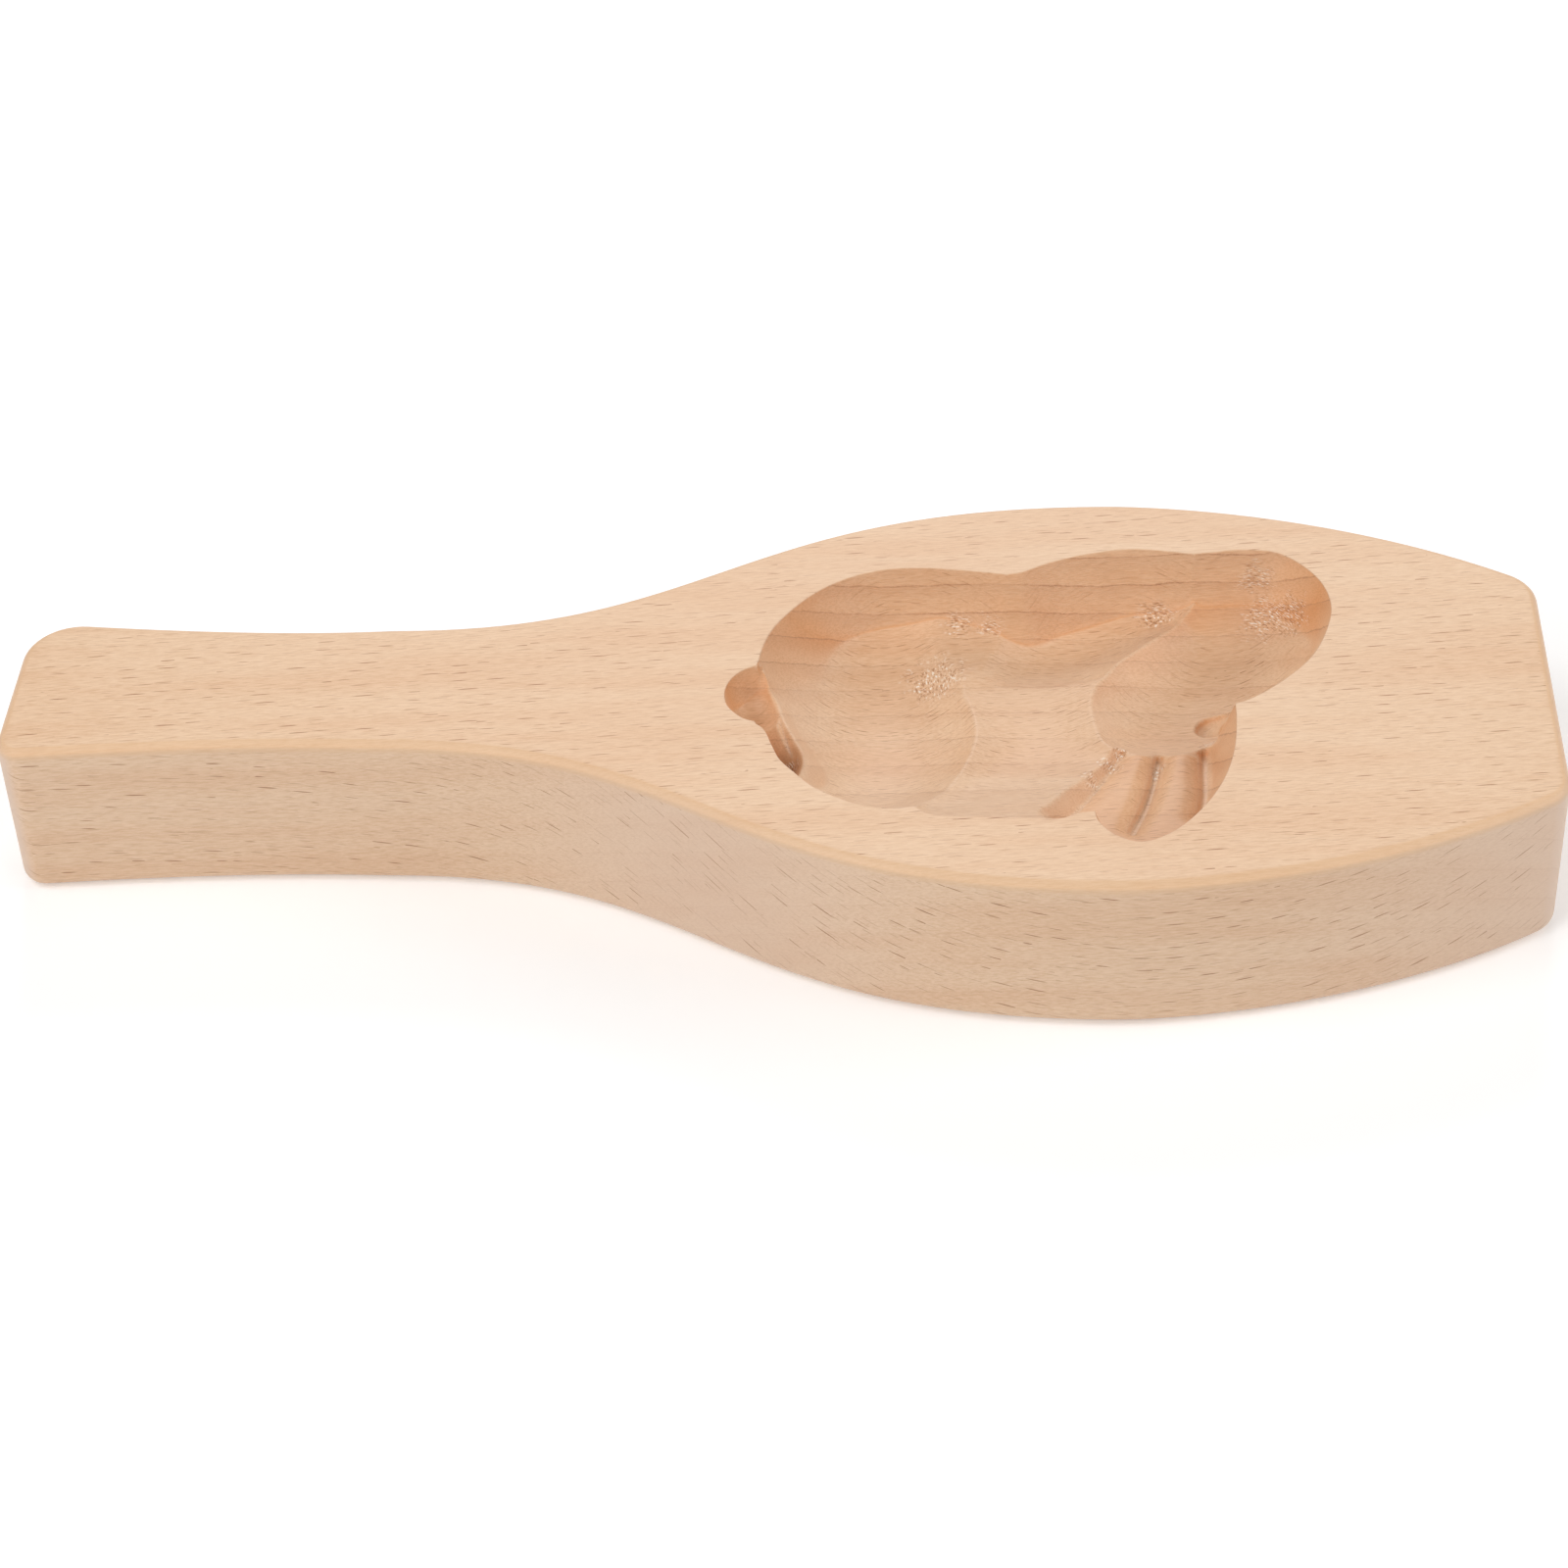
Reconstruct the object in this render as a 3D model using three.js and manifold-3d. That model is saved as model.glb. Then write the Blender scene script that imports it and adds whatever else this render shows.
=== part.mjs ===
// Cookie mould: one beech board with a handle, and a crouching rabbit carved into its top face.
// Millimetres. X runs from the handle to the head, Y across the board and Z up.
// The origin is the middle of the underside.

import * as THREE from 'three'
import { mergeVertices } from 'three/addons/utils/BufferGeometryUtils.js'
import Module from 'manifold-3d'

const wasm = await Module()
wasm.setup()

// The board, seen from above
const HANDLE_LENGTH = 63.5
const NECK_LENGTH = 119.5
const HEAD_LENGTH = 72
const HANDLE_END_WIDTH = 35.8
const WAIST_WIDTH = 31
const HEAD_WIDTH = 100
const TIP_WIDTH = 54.6
const HANDLE_TAPER_DEG = 5.1
const TIP_TAPER_DEG = 32.2

// Corners of its ends, the far ones rounder than the near ones
const FAR_HANDLE_RADIUS = 9
const FAR_TIP_RADIUS = 8
const NEAR_HANDLE_RADIUS = 4
const NEAR_TIP_RADIUS = 6

// The board, seen from the side
const BOARD_THICKNESS = 30
const EDGE_RADIUS = 1.4

// How far each outline curve leans along its start and its end, as a share of its own run
const HANDLE_CURVE = [0.58, 0.08]
const NECK_CURVE = [0.451, 0.544]
const HEAD_CURVE = [0.139, 0.386]

// Wood left between the carving and the board's side, its tip and its waist
const SIDE_BORDER = 10.5
const TIP_BORDER = 34.6
const WAIST_BORDER = 55.9

// The rim of the carving, in stretches that meet at corners. Each point is x, y, the steepness of the
// wall below it in degrees and the rounding at its foot, from the middle of the widest place of the head.
const RIM = [
  // Haunch, from the tail round to the notch at the shoulder
  [
    [-58.6, 5, 62, 1.2], [-58, 9.5, 62, 2.5], [-56.5, 14.6, 60, 4], [-53.4, 20, 64, 4],
    [-49, 25.2, 72, 3], [-44, 28.8, 78, 1.8], [-38.5, 30.9, 80, 1], [-32.5, 31.5, 80, 0.8],
    [-26, 31, 80, 0.8], [-17, 29.6, 72, 1.2]
  ],
  // Shoulder, as far as the notch at the chin
  [
    [-17, 29.6, 72, 1.2], [-14.7, 30.1, 71, 1.8], [-10, 32.7, 73, 1.8], [-4, 35, 75, 1.5],
    [4.5, 36.6, 78, 1.2], [15, 35.2, 80, 1.5]
  ],
  // Head, round the nose to the root of the ears
  [
    [15, 35.2, 80, 1.5], [17.5, 35.5, 80, 4], [23, 36.3, 78, 5], [29, 35.5, 76, 4],
    [33, 32.2, 74, 3], [36.2, 27, 73, 2], [37.4, 21, 73, 1.5], [36.5, 15, 70, 1.5],
    [33.3, 6.9, 58, 2.5], [27.2, -0.4, 50, 3], [22.2, -4.4, 58, 2], [20.1, -5.4, 72, 1]
  ],
  // Outer ear, down to its tip and back to the gap between the ears
  [
    [20.1, -5.4, 72, 1], [20.1, -9, 70, 1.2], [19.4, -16.8, 70, 1.2], [17.3, -24.5, 70, 1.2],
    [13.6, -31.5, 68, 1.2], [8.4, -37.4, 66, 1.2], [3.7, -39.5, 66, 1.2], [-0.3, -37.8, 66, 1.2],
    [-2.8, -34.6, 62, 1.2], [-3.4, -32.2, 56, 1.2]
  ],
  // Tip of the first ear and the back, where the floor rises gently to the rim
  [
    [-3.4, -32.2, 23, 3], [-5.7, -32.6, 23, 3], [-8.7, -33.9, 23, 3], [-12.6, -33.9, 23, 3],
    [-20, -33.6, 24, 3], [-28, -33.3, 28, 3], [-36, -32.1, 38, 3], [-42.4, -29.9, 48, 3],
    [-47.6, -26.7, 54, 2.5], [-50.6, -23.5, 60, 1.5]
  ],
  // Groove beside the tail, and the tail
  [
    [-50.6, -23.5, 70, 1], [-53.8, -19.3, 78, 0.8], [-55.2, -15.8, 80, 0.8], [-57, -11.3, 78, 1],
    [-60.8, -8.4, 70, 1.2], [-63, -5.5, 68, 1.5], [-63.6, -2, 68, 1.5], [-62.8, 1.2, 66, 1.5],
    [-61, 3.6, 64, 1.2], [-58.6, 5, 62, 1.2]
  ]
]

// Bowls of the floor: parts of ellipsoids with half sizes long, wide and high, whose middle lies above
// the top face by the height given as above, turned in the plane of the face
const HAUNCH = { x: -37, y: 8, long: 23.5, wide: 44, high: 22, above: 8.3, turn: 0 }
const BACK = { x: -22, y: 22, long: 40, wide: 24, high: 24, above: 13.2, turn: 0 }
const BELLY = { x: -12, y: 4, long: 26, wide: 70, high: 20, above: 9.4, turn: 0 }
const SHOULDER = { x: -5.1, y: 25.2, long: 44.5, wide: 23.1, high: 40, above: 26, turn: 35.7 }
const HEAD = { x: 15.6, y: 13.1, long: 32.5, wide: 19.3, high: 20.4, above: 4.6, turn: 53.3 }
const TAIL = { x: -58.8, y: -1.6, long: 6.2, wide: 8.4, high: 9.5, above: 2.5, turn: 18 }

// Crests between the bowls, each point x, y and depth. Each bowl beside one is lifted or sunk a little
// so that it passes through the crest.
const HAUNCH_CREST = [
  [-28.7, 20.7, 11.2], [-25.7, 12.5, 10.2], [-23.5, 6.8, 9.4], [-22.4, 1.4, 8.9], [-22.2, -3, 8.5],
  [-22.8, -7.5, 7.9], [-23.9, -12.6, 6.8], [-25.5, -17.8, 5.6], [-27.5, -22.8, 4.4],
  [-30.9, -27.8, 2.8], [-34.7, -31.1, 1.2]
]
const NECK_CREST = [
  [14, 34.7, 9.8], [13.1, 30.6, 10.6], [8.6, 24.9, 10], [4.4, 20.1, 9.6], [1.6, 16.9, 9.4],
  [-0.8, 12.6, 9.1], [-2.2, 9.9, 9], [-2.9, 7.1, 8.9], [-2.9, 3.6, 8.8], [-2.5, 0.2, 8.6],
  [-2, -2.6, 8.4], [-1.1, -5.3, 8.1], [1.4, -8.3, 7.8]
]
const CREST_REACH = 6
const CREST_LIMIT = 1.5

// Rounding of the creases where two cuts meet
const BELLY_CREASE = 0.4
const BACK_CREASE = 0.8
const SHOULDER_CREASE = 0.6
const TAIL_CREASE = 0.5
const SHARP_CREASE = 0.3

// Ridge left standing between the tail and the haunch, and the steepness of its two flanks
const TAIL_CREST = [
  [-58.6, 5.4, 0.3], [-58, 5, 2.2], [-57.6, 4.5, 3.2], [-56.8, 3.6, 4.2], [-55.4, 1.2, 4.8],
  [-54.6, -1.7, 4.9], [-53.5, -5.2, 4.6], [-52, -9.4, 4], [-50.5, -13.9, 3.2], [-50, -17.3, 2.4],
  [-50.2, -21.2, 1.2], [-50.4, -23.4, 0.2]
]
const TAIL_CREST_LEFT_DEG = 58
const TAIL_CREST_RIGHT_DEG = 60

// Groove beside the tail, steep on its outer side
const TAIL_GROOVE = [
  [-58.8, -4.5, 6.6], [-57, -9, 7], [-55.9, -12.2, 7.2], [-54.6, -16, 7.4], [-53.2, -19, 7.4],
  [-52, -21.2, 6.4]
]
const TAIL_GROOVE_INNER_DEG = 44
const TAIL_GROOVE_OUTER_DEG = 82

// Furrows between the ears, and how far each reaches to its left and right. The backs of the ears slope
// down from the head to the near rim. The left side of the first furrow is a straight flank.
const FURROWS = [
  {
    bed: [[1.8, -7.1, 9.8], [-2.4, -15.9, 9.1], [-5.8, -23.4, 7.5], [-8.6, -29.3, 5.6]],
    left: 4.4,
    right: 5.4
  },
  {
    bed: [[7.9, -7.3, 11], [6.7, -14.5, 10.5], [5.1, -21.7, 9.5], [2.8, -29.2, 8]],
    left: 3.8,
    right: 4.2
  },
  {
    bed: [[15.4, -6.1, 11], [15.2, -12.1, 10.5], [14.8, -19.3, 9.7], [13.7, -25.7, 8.7]],
    left: 4.6,
    right: 25
  }
]
const FIRST_FLANK_SLOPE = 1.1
const FURROW_FLOOR = 0.5
const FURROW_WALL_DEG = 70
const TAIL_WALL_DEG = 78
const FURROW_ROUNDING = 0.6
const EAR_BACK = { y: -8, depth: 8.4, slope: 0.12, endY: -7, endSlope: 1.2 }

// The eye, a small dish pressed into the floor of the head
const EYE = { x: 17.5, y: 6, halfLength: 3, halfWidth: 3.7, depth: 2 }

// Fineness of the surfaces
const CURVE_STEPS = 14
const CORNER_STEPS = 5
const EDGE_STEPS = 3
const SPOKES = 132
const RINGS = 15
const LINE_STEPS = 4
const CUTTER_LIFT = 2

// Middle of the carving's spokes, from which every point of the rim can be seen
const HUB = [-11, 5]

const BOARD_LENGTH = HANDLE_LENGTH + NECK_LENGTH + HEAD_LENGTH
const HANDLE_X = -BOARD_LENGTH / 2
const WAIST_X = HANDLE_X + HANDLE_LENGTH
const HEAD_X = WAIST_X + NECK_LENGTH
const TIP_X = BOARD_LENGTH / 2
const slopeOf = degrees => Math.tan(THREE.MathUtils.degToRad(degrees))

// Corner between a straight end of the board and the side that leaves it at a slope.
// The end stands at x, and inward is +1 where the board lies to its right and -1 to its left.
function corner(x, halfWidth, inward, slope, radius) {
  const slant = Math.hypot(1, slope)
  const centre = new THREE.Vector2(x + inward * radius, halfWidth + inward * slope * radius - radius * slant)
  const touch = new THREE.Vector2(centre.x - (radius * slope) / slant, centre.y + radius / slant)
  const endAngle = inward > 0 ? Math.PI : 0
  const sideAngle = Math.atan2(1, -slope)
  const arc = new THREE.EllipseCurve(centre.x, centre.y, radius, radius, endAngle, sideAngle, inward > 0)
  return { arc, touch }
}

// The +Y half of an outline with the given corners, from the handle's end to the tip
function sideLine(handleRadius, tipRadius) {
  const handleSlope = -slopeOf(HANDLE_TAPER_DEG)
  const tipSlope = -slopeOf(TIP_TAPER_DEG)
  const handle = corner(HANDLE_X, HANDLE_END_WIDTH / 2, 1, handleSlope, handleRadius)
  const tip = corner(TIP_X, TIP_WIDTH / 2, -1, tipSlope, tipRadius)
  const waist = new THREE.Vector2(WAIST_X, WAIST_WIDTH / 2)
  const widest = new THREE.Vector2(HEAD_X, HEAD_WIDTH / 2)
  const lean = (from, run, slope) => new THREE.Vector2(from.x + run, from.y + run * slope)
  const curve = (from, fromSlope, to, toSlope, run, share) => new THREE.CubicBezierCurve(
    from, lean(from, run * share[0], fromSlope), lean(to, -run * share[1], toSlope), to)
  const curves = [
    curve(handle.touch, handleSlope, waist, 0, HANDLE_LENGTH, HANDLE_CURVE),
    curve(waist, 0, widest, 0, NECK_LENGTH, NECK_CURVE),
    curve(widest, 0, tip.touch, tipSlope, HEAD_LENGTH, HEAD_CURVE)
  ]
  return [
    ...handle.arc.getPoints(CORNER_STEPS).slice(0, -1),
    ...curves.flatMap(c => c.getPoints(CURVE_STEPS).slice(0, -1)),
    ...tip.arc.getPoints(CORNER_STEPS).reverse()
  ]
}

// The whole board before it is carved, with its top and bottom edges rounded over
function boardGeometry() {
  const far = sideLine(FAR_HANDLE_RADIUS, FAR_TIP_RADIUS)
  const near = sideLine(NEAR_HANDLE_RADIUS, NEAR_TIP_RADIUS).map(p => new THREE.Vector2(p.x, -p.y))
  const geometry = new THREE.ExtrudeGeometry(new THREE.Shape([...far, ...near.reverse()]), {
    depth: BOARD_THICKNESS - 2 * EDGE_RADIUS,
    bevelThickness: EDGE_RADIUS,
    bevelSize: EDGE_RADIUS,
    bevelOffset: -EDGE_RADIUS,
    bevelSegments: EDGE_STEPS
  })
  return geometry.translate(0, 0, EDGE_RADIUS)
}

// The larger of two depths, blended where they are within the given range of each other
function deeper(a, b, range) {
  const share = THREE.MathUtils.clamp(0.5 + (0.5 * (a - b)) / range, 0, 1)
  return b + (a - b) * share + range * share * (1 - share)
}

const shallower = (a, b, range) => -deeper(-a, -b, range)

// Depth of a bowl at a place on the face, negative outside it
function bowl(shape, x, y) {
  const turn = THREE.MathUtils.degToRad(shape.turn)
  const along = (x - shape.x) * Math.cos(turn) + (y - shape.y) * Math.sin(turn)
  const across = (y - shape.y) * Math.cos(turn) - (x - shape.x) * Math.sin(turn)
  const rest = 1 - (along / shape.long) ** 2 - (across / shape.wide) ** 2
  return Math.sign(rest) * shape.high * Math.sqrt(Math.abs(rest)) - shape.above
}

// Nearest place on a line of points with x, y and values: its distance, its place and values, and the
// side of the line that the asked place lies on, +1 on the right of the way along it
function nearest(line, x, y) {
  let best = { distance: Infinity }
  for (let i = 0; i + 1 < line.length; i++) {
    const [ax, ay] = line[i]
    const dx = line[i + 1][0] - ax
    const dy = line[i + 1][1] - ay
    const share = THREE.MathUtils.clamp(((x - ax) * dx + (y - ay) * dy) / (dx * dx + dy * dy), 0, 1)
    const distance = Math.hypot(x - ax - share * dx, y - ay - share * dy)
    if (distance < best.distance) {
      const side = Math.sign((x - ax) * dy - (y - ay) * dx) || 1
      best = { distance, side, place: between(line[i], line[i + 1], share) }
    }
  }
  return best
}

// Point part of the way from one point to the next, values too
function between(from, to, share) {
  return from.map((value, i) => THREE.MathUtils.lerp(value, to[i], share))
}

// Smooth line through points of x, y and values, split in equal steps between them
function smoothLine(points) {
  const places = points.map(p => new THREE.Vector3(p[0], p[1], 0))
  const curve = new THREE.CatmullRomCurve3(places, false, 'centripetal')
  const spans = points.length - 1
  return Array.from({ length: spans * LINE_STEPS + 1 }, (unused, i) => {
    const span = Math.min(Math.floor(i / LINE_STEPS), spans - 1)
    const { x, y } = curve.getPoint(i / LINE_STEPS / spans)
    const values = between(points[span], points[span + 1], i / LINE_STEPS - span).slice(2)
    return [x, y, ...values]
  })
}

const RIM_STRETCHES = RIM.map(smoothLine)
const RIM_LINE = RIM_STRETCHES.flatMap((stretch, i) => stretch.slice(i ? 1 : 0))
const RIM_REACH_Y = Math.max(...RIM_LINE.map(p => -p[1]))
const RIM_REACH_TAIL = Math.max(...RIM_LINE.map(p => -p[0]))
const RIM_REACH_NOSE = Math.max(...RIM_LINE.map(p => p[0]))

const HAUNCH_CREST_LINE = smoothLine(HAUNCH_CREST)
const NECK_CREST_LINE = smoothLine(NECK_CREST)
const TAIL_CREST_LINE = smoothLine(TAIL_CREST)
const TAIL_GROOVE_LINE = smoothLine(TAIL_GROOVE)
const FURROW_LINES = FURROWS.map(furrow => smoothLine(furrow.bed))

// Depth by which a crest lifts or sinks the bowl beside it
function lift(crestLine, shape, x, y) {
  const { distance, place } = nearest(crestLine, x, y)
  const [nearX, nearY, crestDepth] = place
  const miss = THREE.MathUtils.clamp(crestDepth - bowl(shape, nearX, nearY), -CREST_LIMIT, CREST_LIMIT)
  return miss * Math.exp(-((distance / CREST_REACH) ** 2))
}

// Depth of the ears: rounded backs with furrows between them
function earsAt(x, y) {
  const first = nearest(FURROW_LINES[0], x, y)
  if (first.side > 0) return first.place[2] - FIRST_FLANK_SLOPE * first.distance
  const end = EAR_BACK.endSlope * Math.max(y - EAR_BACK.endY, 0)
  const back = EAR_BACK.depth + EAR_BACK.slope * Math.min(y - EAR_BACK.y, 0) - end
  let cut = 0
  FURROWS.forEach((furrow, i) => {
    const bed = nearest(FURROW_LINES[i], x, y)
    const reach = bed.side > 0 ? furrow.left : furrow.right
    const share = THREE.MathUtils.clamp((bed.distance - FURROW_FLOOR) / reach, 0, 1)
    cut = deeper(cut, (bed.place[2] - back) * (1 - Math.sqrt(1 - (1 - share) ** 2)), SHARP_CREASE)
  })
  return back + cut
}

// Depth of the tail with the groove beside it
function tailAt(x, y) {
  const groove = nearest(TAIL_GROOVE_LINE, x, y)
  const steepness = groove.side > 0 ? TAIL_GROOVE_OUTER_DEG : TAIL_GROOVE_INNER_DEG
  const bed = groove.place[2] - groove.distance * slopeOf(steepness)
  return deeper(bed, bowl(TAIL, x, y), TAIL_CREASE)
}

// Depth of the carving below the top face, at a place inside the rim
function depthAt(x, y) {
  const haunch = bowl(HAUNCH, x, y) + lift(HAUNCH_CREST_LINE, HAUNCH, x, y)
  const belly = bowl(BELLY, x, y) + lift(HAUNCH_CREST_LINE, BELLY, x, y) + lift(NECK_CREST_LINE, BELLY, x, y)
  const shoulder = bowl(SHOULDER, x, y) + lift(NECK_CREST_LINE, SHOULDER, x, y)
  const head = bowl(HEAD, x, y) + lift(NECK_CREST_LINE, HEAD, x, y)
  let depth = deeper(deeper(haunch, belly, BELLY_CREASE), bowl(BACK, x, y), BACK_CREASE)
  depth = deeper(deeper(depth, shoulder, SHOULDER_CREASE), head, SHARP_CREASE)
  let rimDistance = Infinity
  for (const stretch of RIM_STRETCHES) {
    const { distance, place } = nearest(stretch, x, y)
    const [, , steepness, rounding] = place
    rimDistance = Math.min(rimDistance, distance)
    depth = shallower(depth, distance * slopeOf(steepness), rounding)
  }
  const earsFall = rimDistance * slopeOf(FURROW_WALL_DEG)
  const tailFall = rimDistance * slopeOf(TAIL_WALL_DEG)
  depth = deeper(depth, shallower(earsFall, earsAt(x, y), FURROW_ROUNDING), SHARP_CREASE)
  depth = deeper(depth, shallower(tailFall, tailAt(x, y), FURROW_ROUNDING), SHARP_CREASE)
  const crest = nearest(TAIL_CREST_LINE, x, y)
  const flank = crest.distance * slopeOf(crest.side > 0 ? TAIL_CREST_RIGHT_DEG : TAIL_CREST_LEFT_DEG)
  return Math.max(0, shallower(depth, crest.place[2] + flank, SHARP_CREASE))
}

// Place on the board of a place in the figure, stretched to leave the borders round it
function onBoard(x, y, depth) {
  const tailReach = (NECK_LENGTH - WAIST_BORDER) / RIM_REACH_TAIL
  const noseReach = (HEAD_LENGTH - TIP_BORDER) / RIM_REACH_NOSE
  const spread = (HEAD_WIDTH / 2 - SIDE_BORDER) / RIM_REACH_Y
  return [HEAD_X + x * (x < 0 ? tailReach : noseReach), y * spread, BOARD_THICKNESS - depth]
}

// Distance from the hub to the rim in a direction
function rimReach(angle) {
  const dx = Math.cos(angle)
  const dy = Math.sin(angle)
  let reach = 0
  for (let i = 0; i < RIM_LINE.length; i++) {
    const [ax, ay] = RIM_LINE[i]
    const [bx, by] = RIM_LINE[(i + 1) % RIM_LINE.length]
    const ex = bx - ax
    const ey = by - ay
    const cross = dx * ey - dy * ex
    if (Math.abs(cross) < 1e-9) continue
    const share = (dy * (ax - HUB[0]) - dx * (ay - HUB[1])) / cross
    const away = (ex === 0 && ey === 0) ? 0 : ((ax - HUB[0]) * ey - (ay - HUB[1]) * ex) / cross
    if (share >= 0 && share <= 1 && away > reach) reach = away
  }
  return reach
}

// The carving as a closed body to be cut away: a lid above the face, a wall and the carved surface
function figureGeometry() {
  const points = []
  const faces = []
  points.push(onBoard(...HUB, -CUTTER_LIFT))
  for (let ring = -1; ring < RINGS; ring++) {
    const share = 1 - (Math.max(ring, 0) / RINGS) ** 2
    for (let spoke = 0; spoke < SPOKES; spoke++) {
      const angle = (spoke / SPOKES) * 2 * Math.PI
      const far = rimReach(angle) * share
      const x = HUB[0] + far * Math.cos(angle)
      const y = HUB[1] + far * Math.sin(angle)
      const depth = ring < 0 ? -CUTTER_LIFT : ring === 0 ? 0 : depthAt(x, y)
      points.push(onBoard(x, y, depth))
    }
  }
  points.push(onBoard(...HUB, depthAt(...HUB)))
  const at = (ring, spoke) => 1 + ring * SPOKES + (spoke % SPOKES)
  for (let spoke = 0; spoke < SPOKES; spoke++) {
    faces.push(0, at(0, spoke), at(0, spoke + 1))
    for (let ring = 0; ring < RINGS; ring++) {
      faces.push(at(ring, spoke), at(ring + 1, spoke), at(ring + 1, spoke + 1))
      faces.push(at(ring, spoke), at(ring + 1, spoke + 1), at(ring, spoke + 1))
    }
    faces.push(at(RINGS, spoke), points.length - 1, at(RINGS, spoke + 1))
  }
  const geometry = new THREE.BufferGeometry()
  geometry.setAttribute('position', new THREE.Float32BufferAttribute(points.flat(), 3))
  return geometry.setIndex(faces)
}

// The dish of the eye as an ellipsoid whose middle lies on the floor of the head
function eyeGeometry() {
  const geometry = new THREE.SphereGeometry(1, 14, 8)
  geometry.scale(EYE.halfLength, EYE.halfWidth, EYE.depth)
  return geometry.translate(...onBoard(EYE.x, EYE.y, depthAt(EYE.x, EYE.y)))
}

// Closed geometry to solid, and back
function solid(geometry) {
  const bare = geometry.clone()
  bare.deleteAttribute('normal')
  bare.deleteAttribute('uv')
  const merged = mergeVertices(bare)
  const vertProperties = new Float32Array(merged.attributes.position.array)
  const triVerts = new Uint32Array(merged.index.array)
  return new wasm.Manifold(new wasm.Mesh({ numProp: 3, vertProperties, triVerts }))
}

function geometryOf(body) {
  const mesh = body.getMesh()
  const geometry = new THREE.BufferGeometry()
  geometry.setAttribute('position', new THREE.BufferAttribute(new Float32Array(mesh.vertProperties), 3))
  geometry.setIndex(new THREE.BufferAttribute(new Uint32Array(mesh.triVerts), 1))
  const faceted = geometry.toNonIndexed()
  faceted.computeVertexNormals()
  return faceted
}

// The mould: the board with the figure and the eye cut out of it
function mouldBody() {
  const hollow = solid(figureGeometry()).add(solid(eyeGeometry()))
  const carved = solid(boardGeometry()).subtract(hollow)
  const beech = new THREE.MeshStandardMaterial({ color: 0xe3c09c, roughness: 0.55, metalness: 0 })
  const mesh = new THREE.Mesh(geometryOf(carved), beech)
  mesh.name = 'mould_body'
  return mesh
}

const mould = new THREE.Group()
mould.add(mouldBody())

export default mould
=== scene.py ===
import math

import bmesh
import bpy
import numpy as np
from mathutils import Matrix, Vector
from mathutils.geometry import delaunay_2d_cdt


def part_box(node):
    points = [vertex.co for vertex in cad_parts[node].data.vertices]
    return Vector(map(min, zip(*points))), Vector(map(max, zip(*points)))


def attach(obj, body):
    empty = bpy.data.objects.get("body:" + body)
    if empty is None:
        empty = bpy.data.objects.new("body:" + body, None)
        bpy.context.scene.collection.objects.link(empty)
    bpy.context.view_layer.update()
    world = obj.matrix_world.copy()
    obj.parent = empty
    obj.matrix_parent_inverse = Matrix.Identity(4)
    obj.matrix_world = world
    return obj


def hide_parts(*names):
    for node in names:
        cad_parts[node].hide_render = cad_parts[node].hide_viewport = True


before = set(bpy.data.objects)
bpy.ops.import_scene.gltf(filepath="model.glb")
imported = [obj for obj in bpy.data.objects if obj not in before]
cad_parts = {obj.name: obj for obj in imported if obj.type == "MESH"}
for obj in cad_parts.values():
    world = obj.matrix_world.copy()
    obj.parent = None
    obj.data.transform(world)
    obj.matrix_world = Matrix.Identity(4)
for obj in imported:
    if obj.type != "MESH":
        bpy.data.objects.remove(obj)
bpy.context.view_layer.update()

bl_info = {
    "name": "Cookie mould",
    "version": (1, 0, 0),
    "blender": (4, 5, 0),
    "location": "View3D > Sidebar > Cookie mould",
    "description": "A beech cookie mould with a handle and a rabbit carved into its face",
    "category": "Object",
}

MM = 0.001
NODE = "mould_body"
PIECE = "carved_board"
NODE_LOW, NODE_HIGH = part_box(NODE)

# The outline of the board in millimetres. Its whole length and width come from the frame.
BOARD_LENGTH = (NODE_HIGH.x - NODE_LOW.x) / MM
HEAD_WIDTH = (NODE_HIGH.y - NODE_LOW.y) / MM
HANDLE_LENGTH = 63.5
HEAD_LENGTH = 72.0
NECK_LENGTH = BOARD_LENGTH - HANDLE_LENGTH - HEAD_LENGTH
HANDLE_END_WIDTH = 35.8
WAIST_WIDTH = 31.0
TIP_WIDTH = 54.6
HANDLE_SLOPE = -math.tan(math.radians(5.1))
TIP_SLOPE = -math.tan(math.radians(32.2))
HANDLE_X = NODE_LOW.x / MM
WAIST_X = HANDLE_X + HANDLE_LENGTH
HEAD_X = WAIST_X + NECK_LENGTH
TIP_X = NODE_HIGH.x / MM

# Corners of the board's ends, the far ones rounder than the near ones
FAR_HANDLE_RADIUS = 9.0
FAR_TIP_RADIUS = 8.0
NEAR_HANDLE_RADIUS = 4.0
NEAR_TIP_RADIUS = 6.0

# How far each curve of the outline leans along its start and its end, as a share of its own run
HANDLE_CURVE = (0.58, 0.08)
NECK_CURVE = (0.451, 0.544)
HEAD_CURVE = (0.139, 0.386)

# Fineness of the board: steps of each corner, curve and rounded edge, then the width of the bands beside
# the edges
CORNER_STEPS = 12
CURVE_STEPS = 44
EDGE_STEPS = 7
EDGE_BAND = 0.5
FACE_BORDER = 0.6

# A face is level if its normal is this upright, and two values are the same if they are within a hair
LEVEL = 0.999
HAIR = 1e-6

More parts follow.
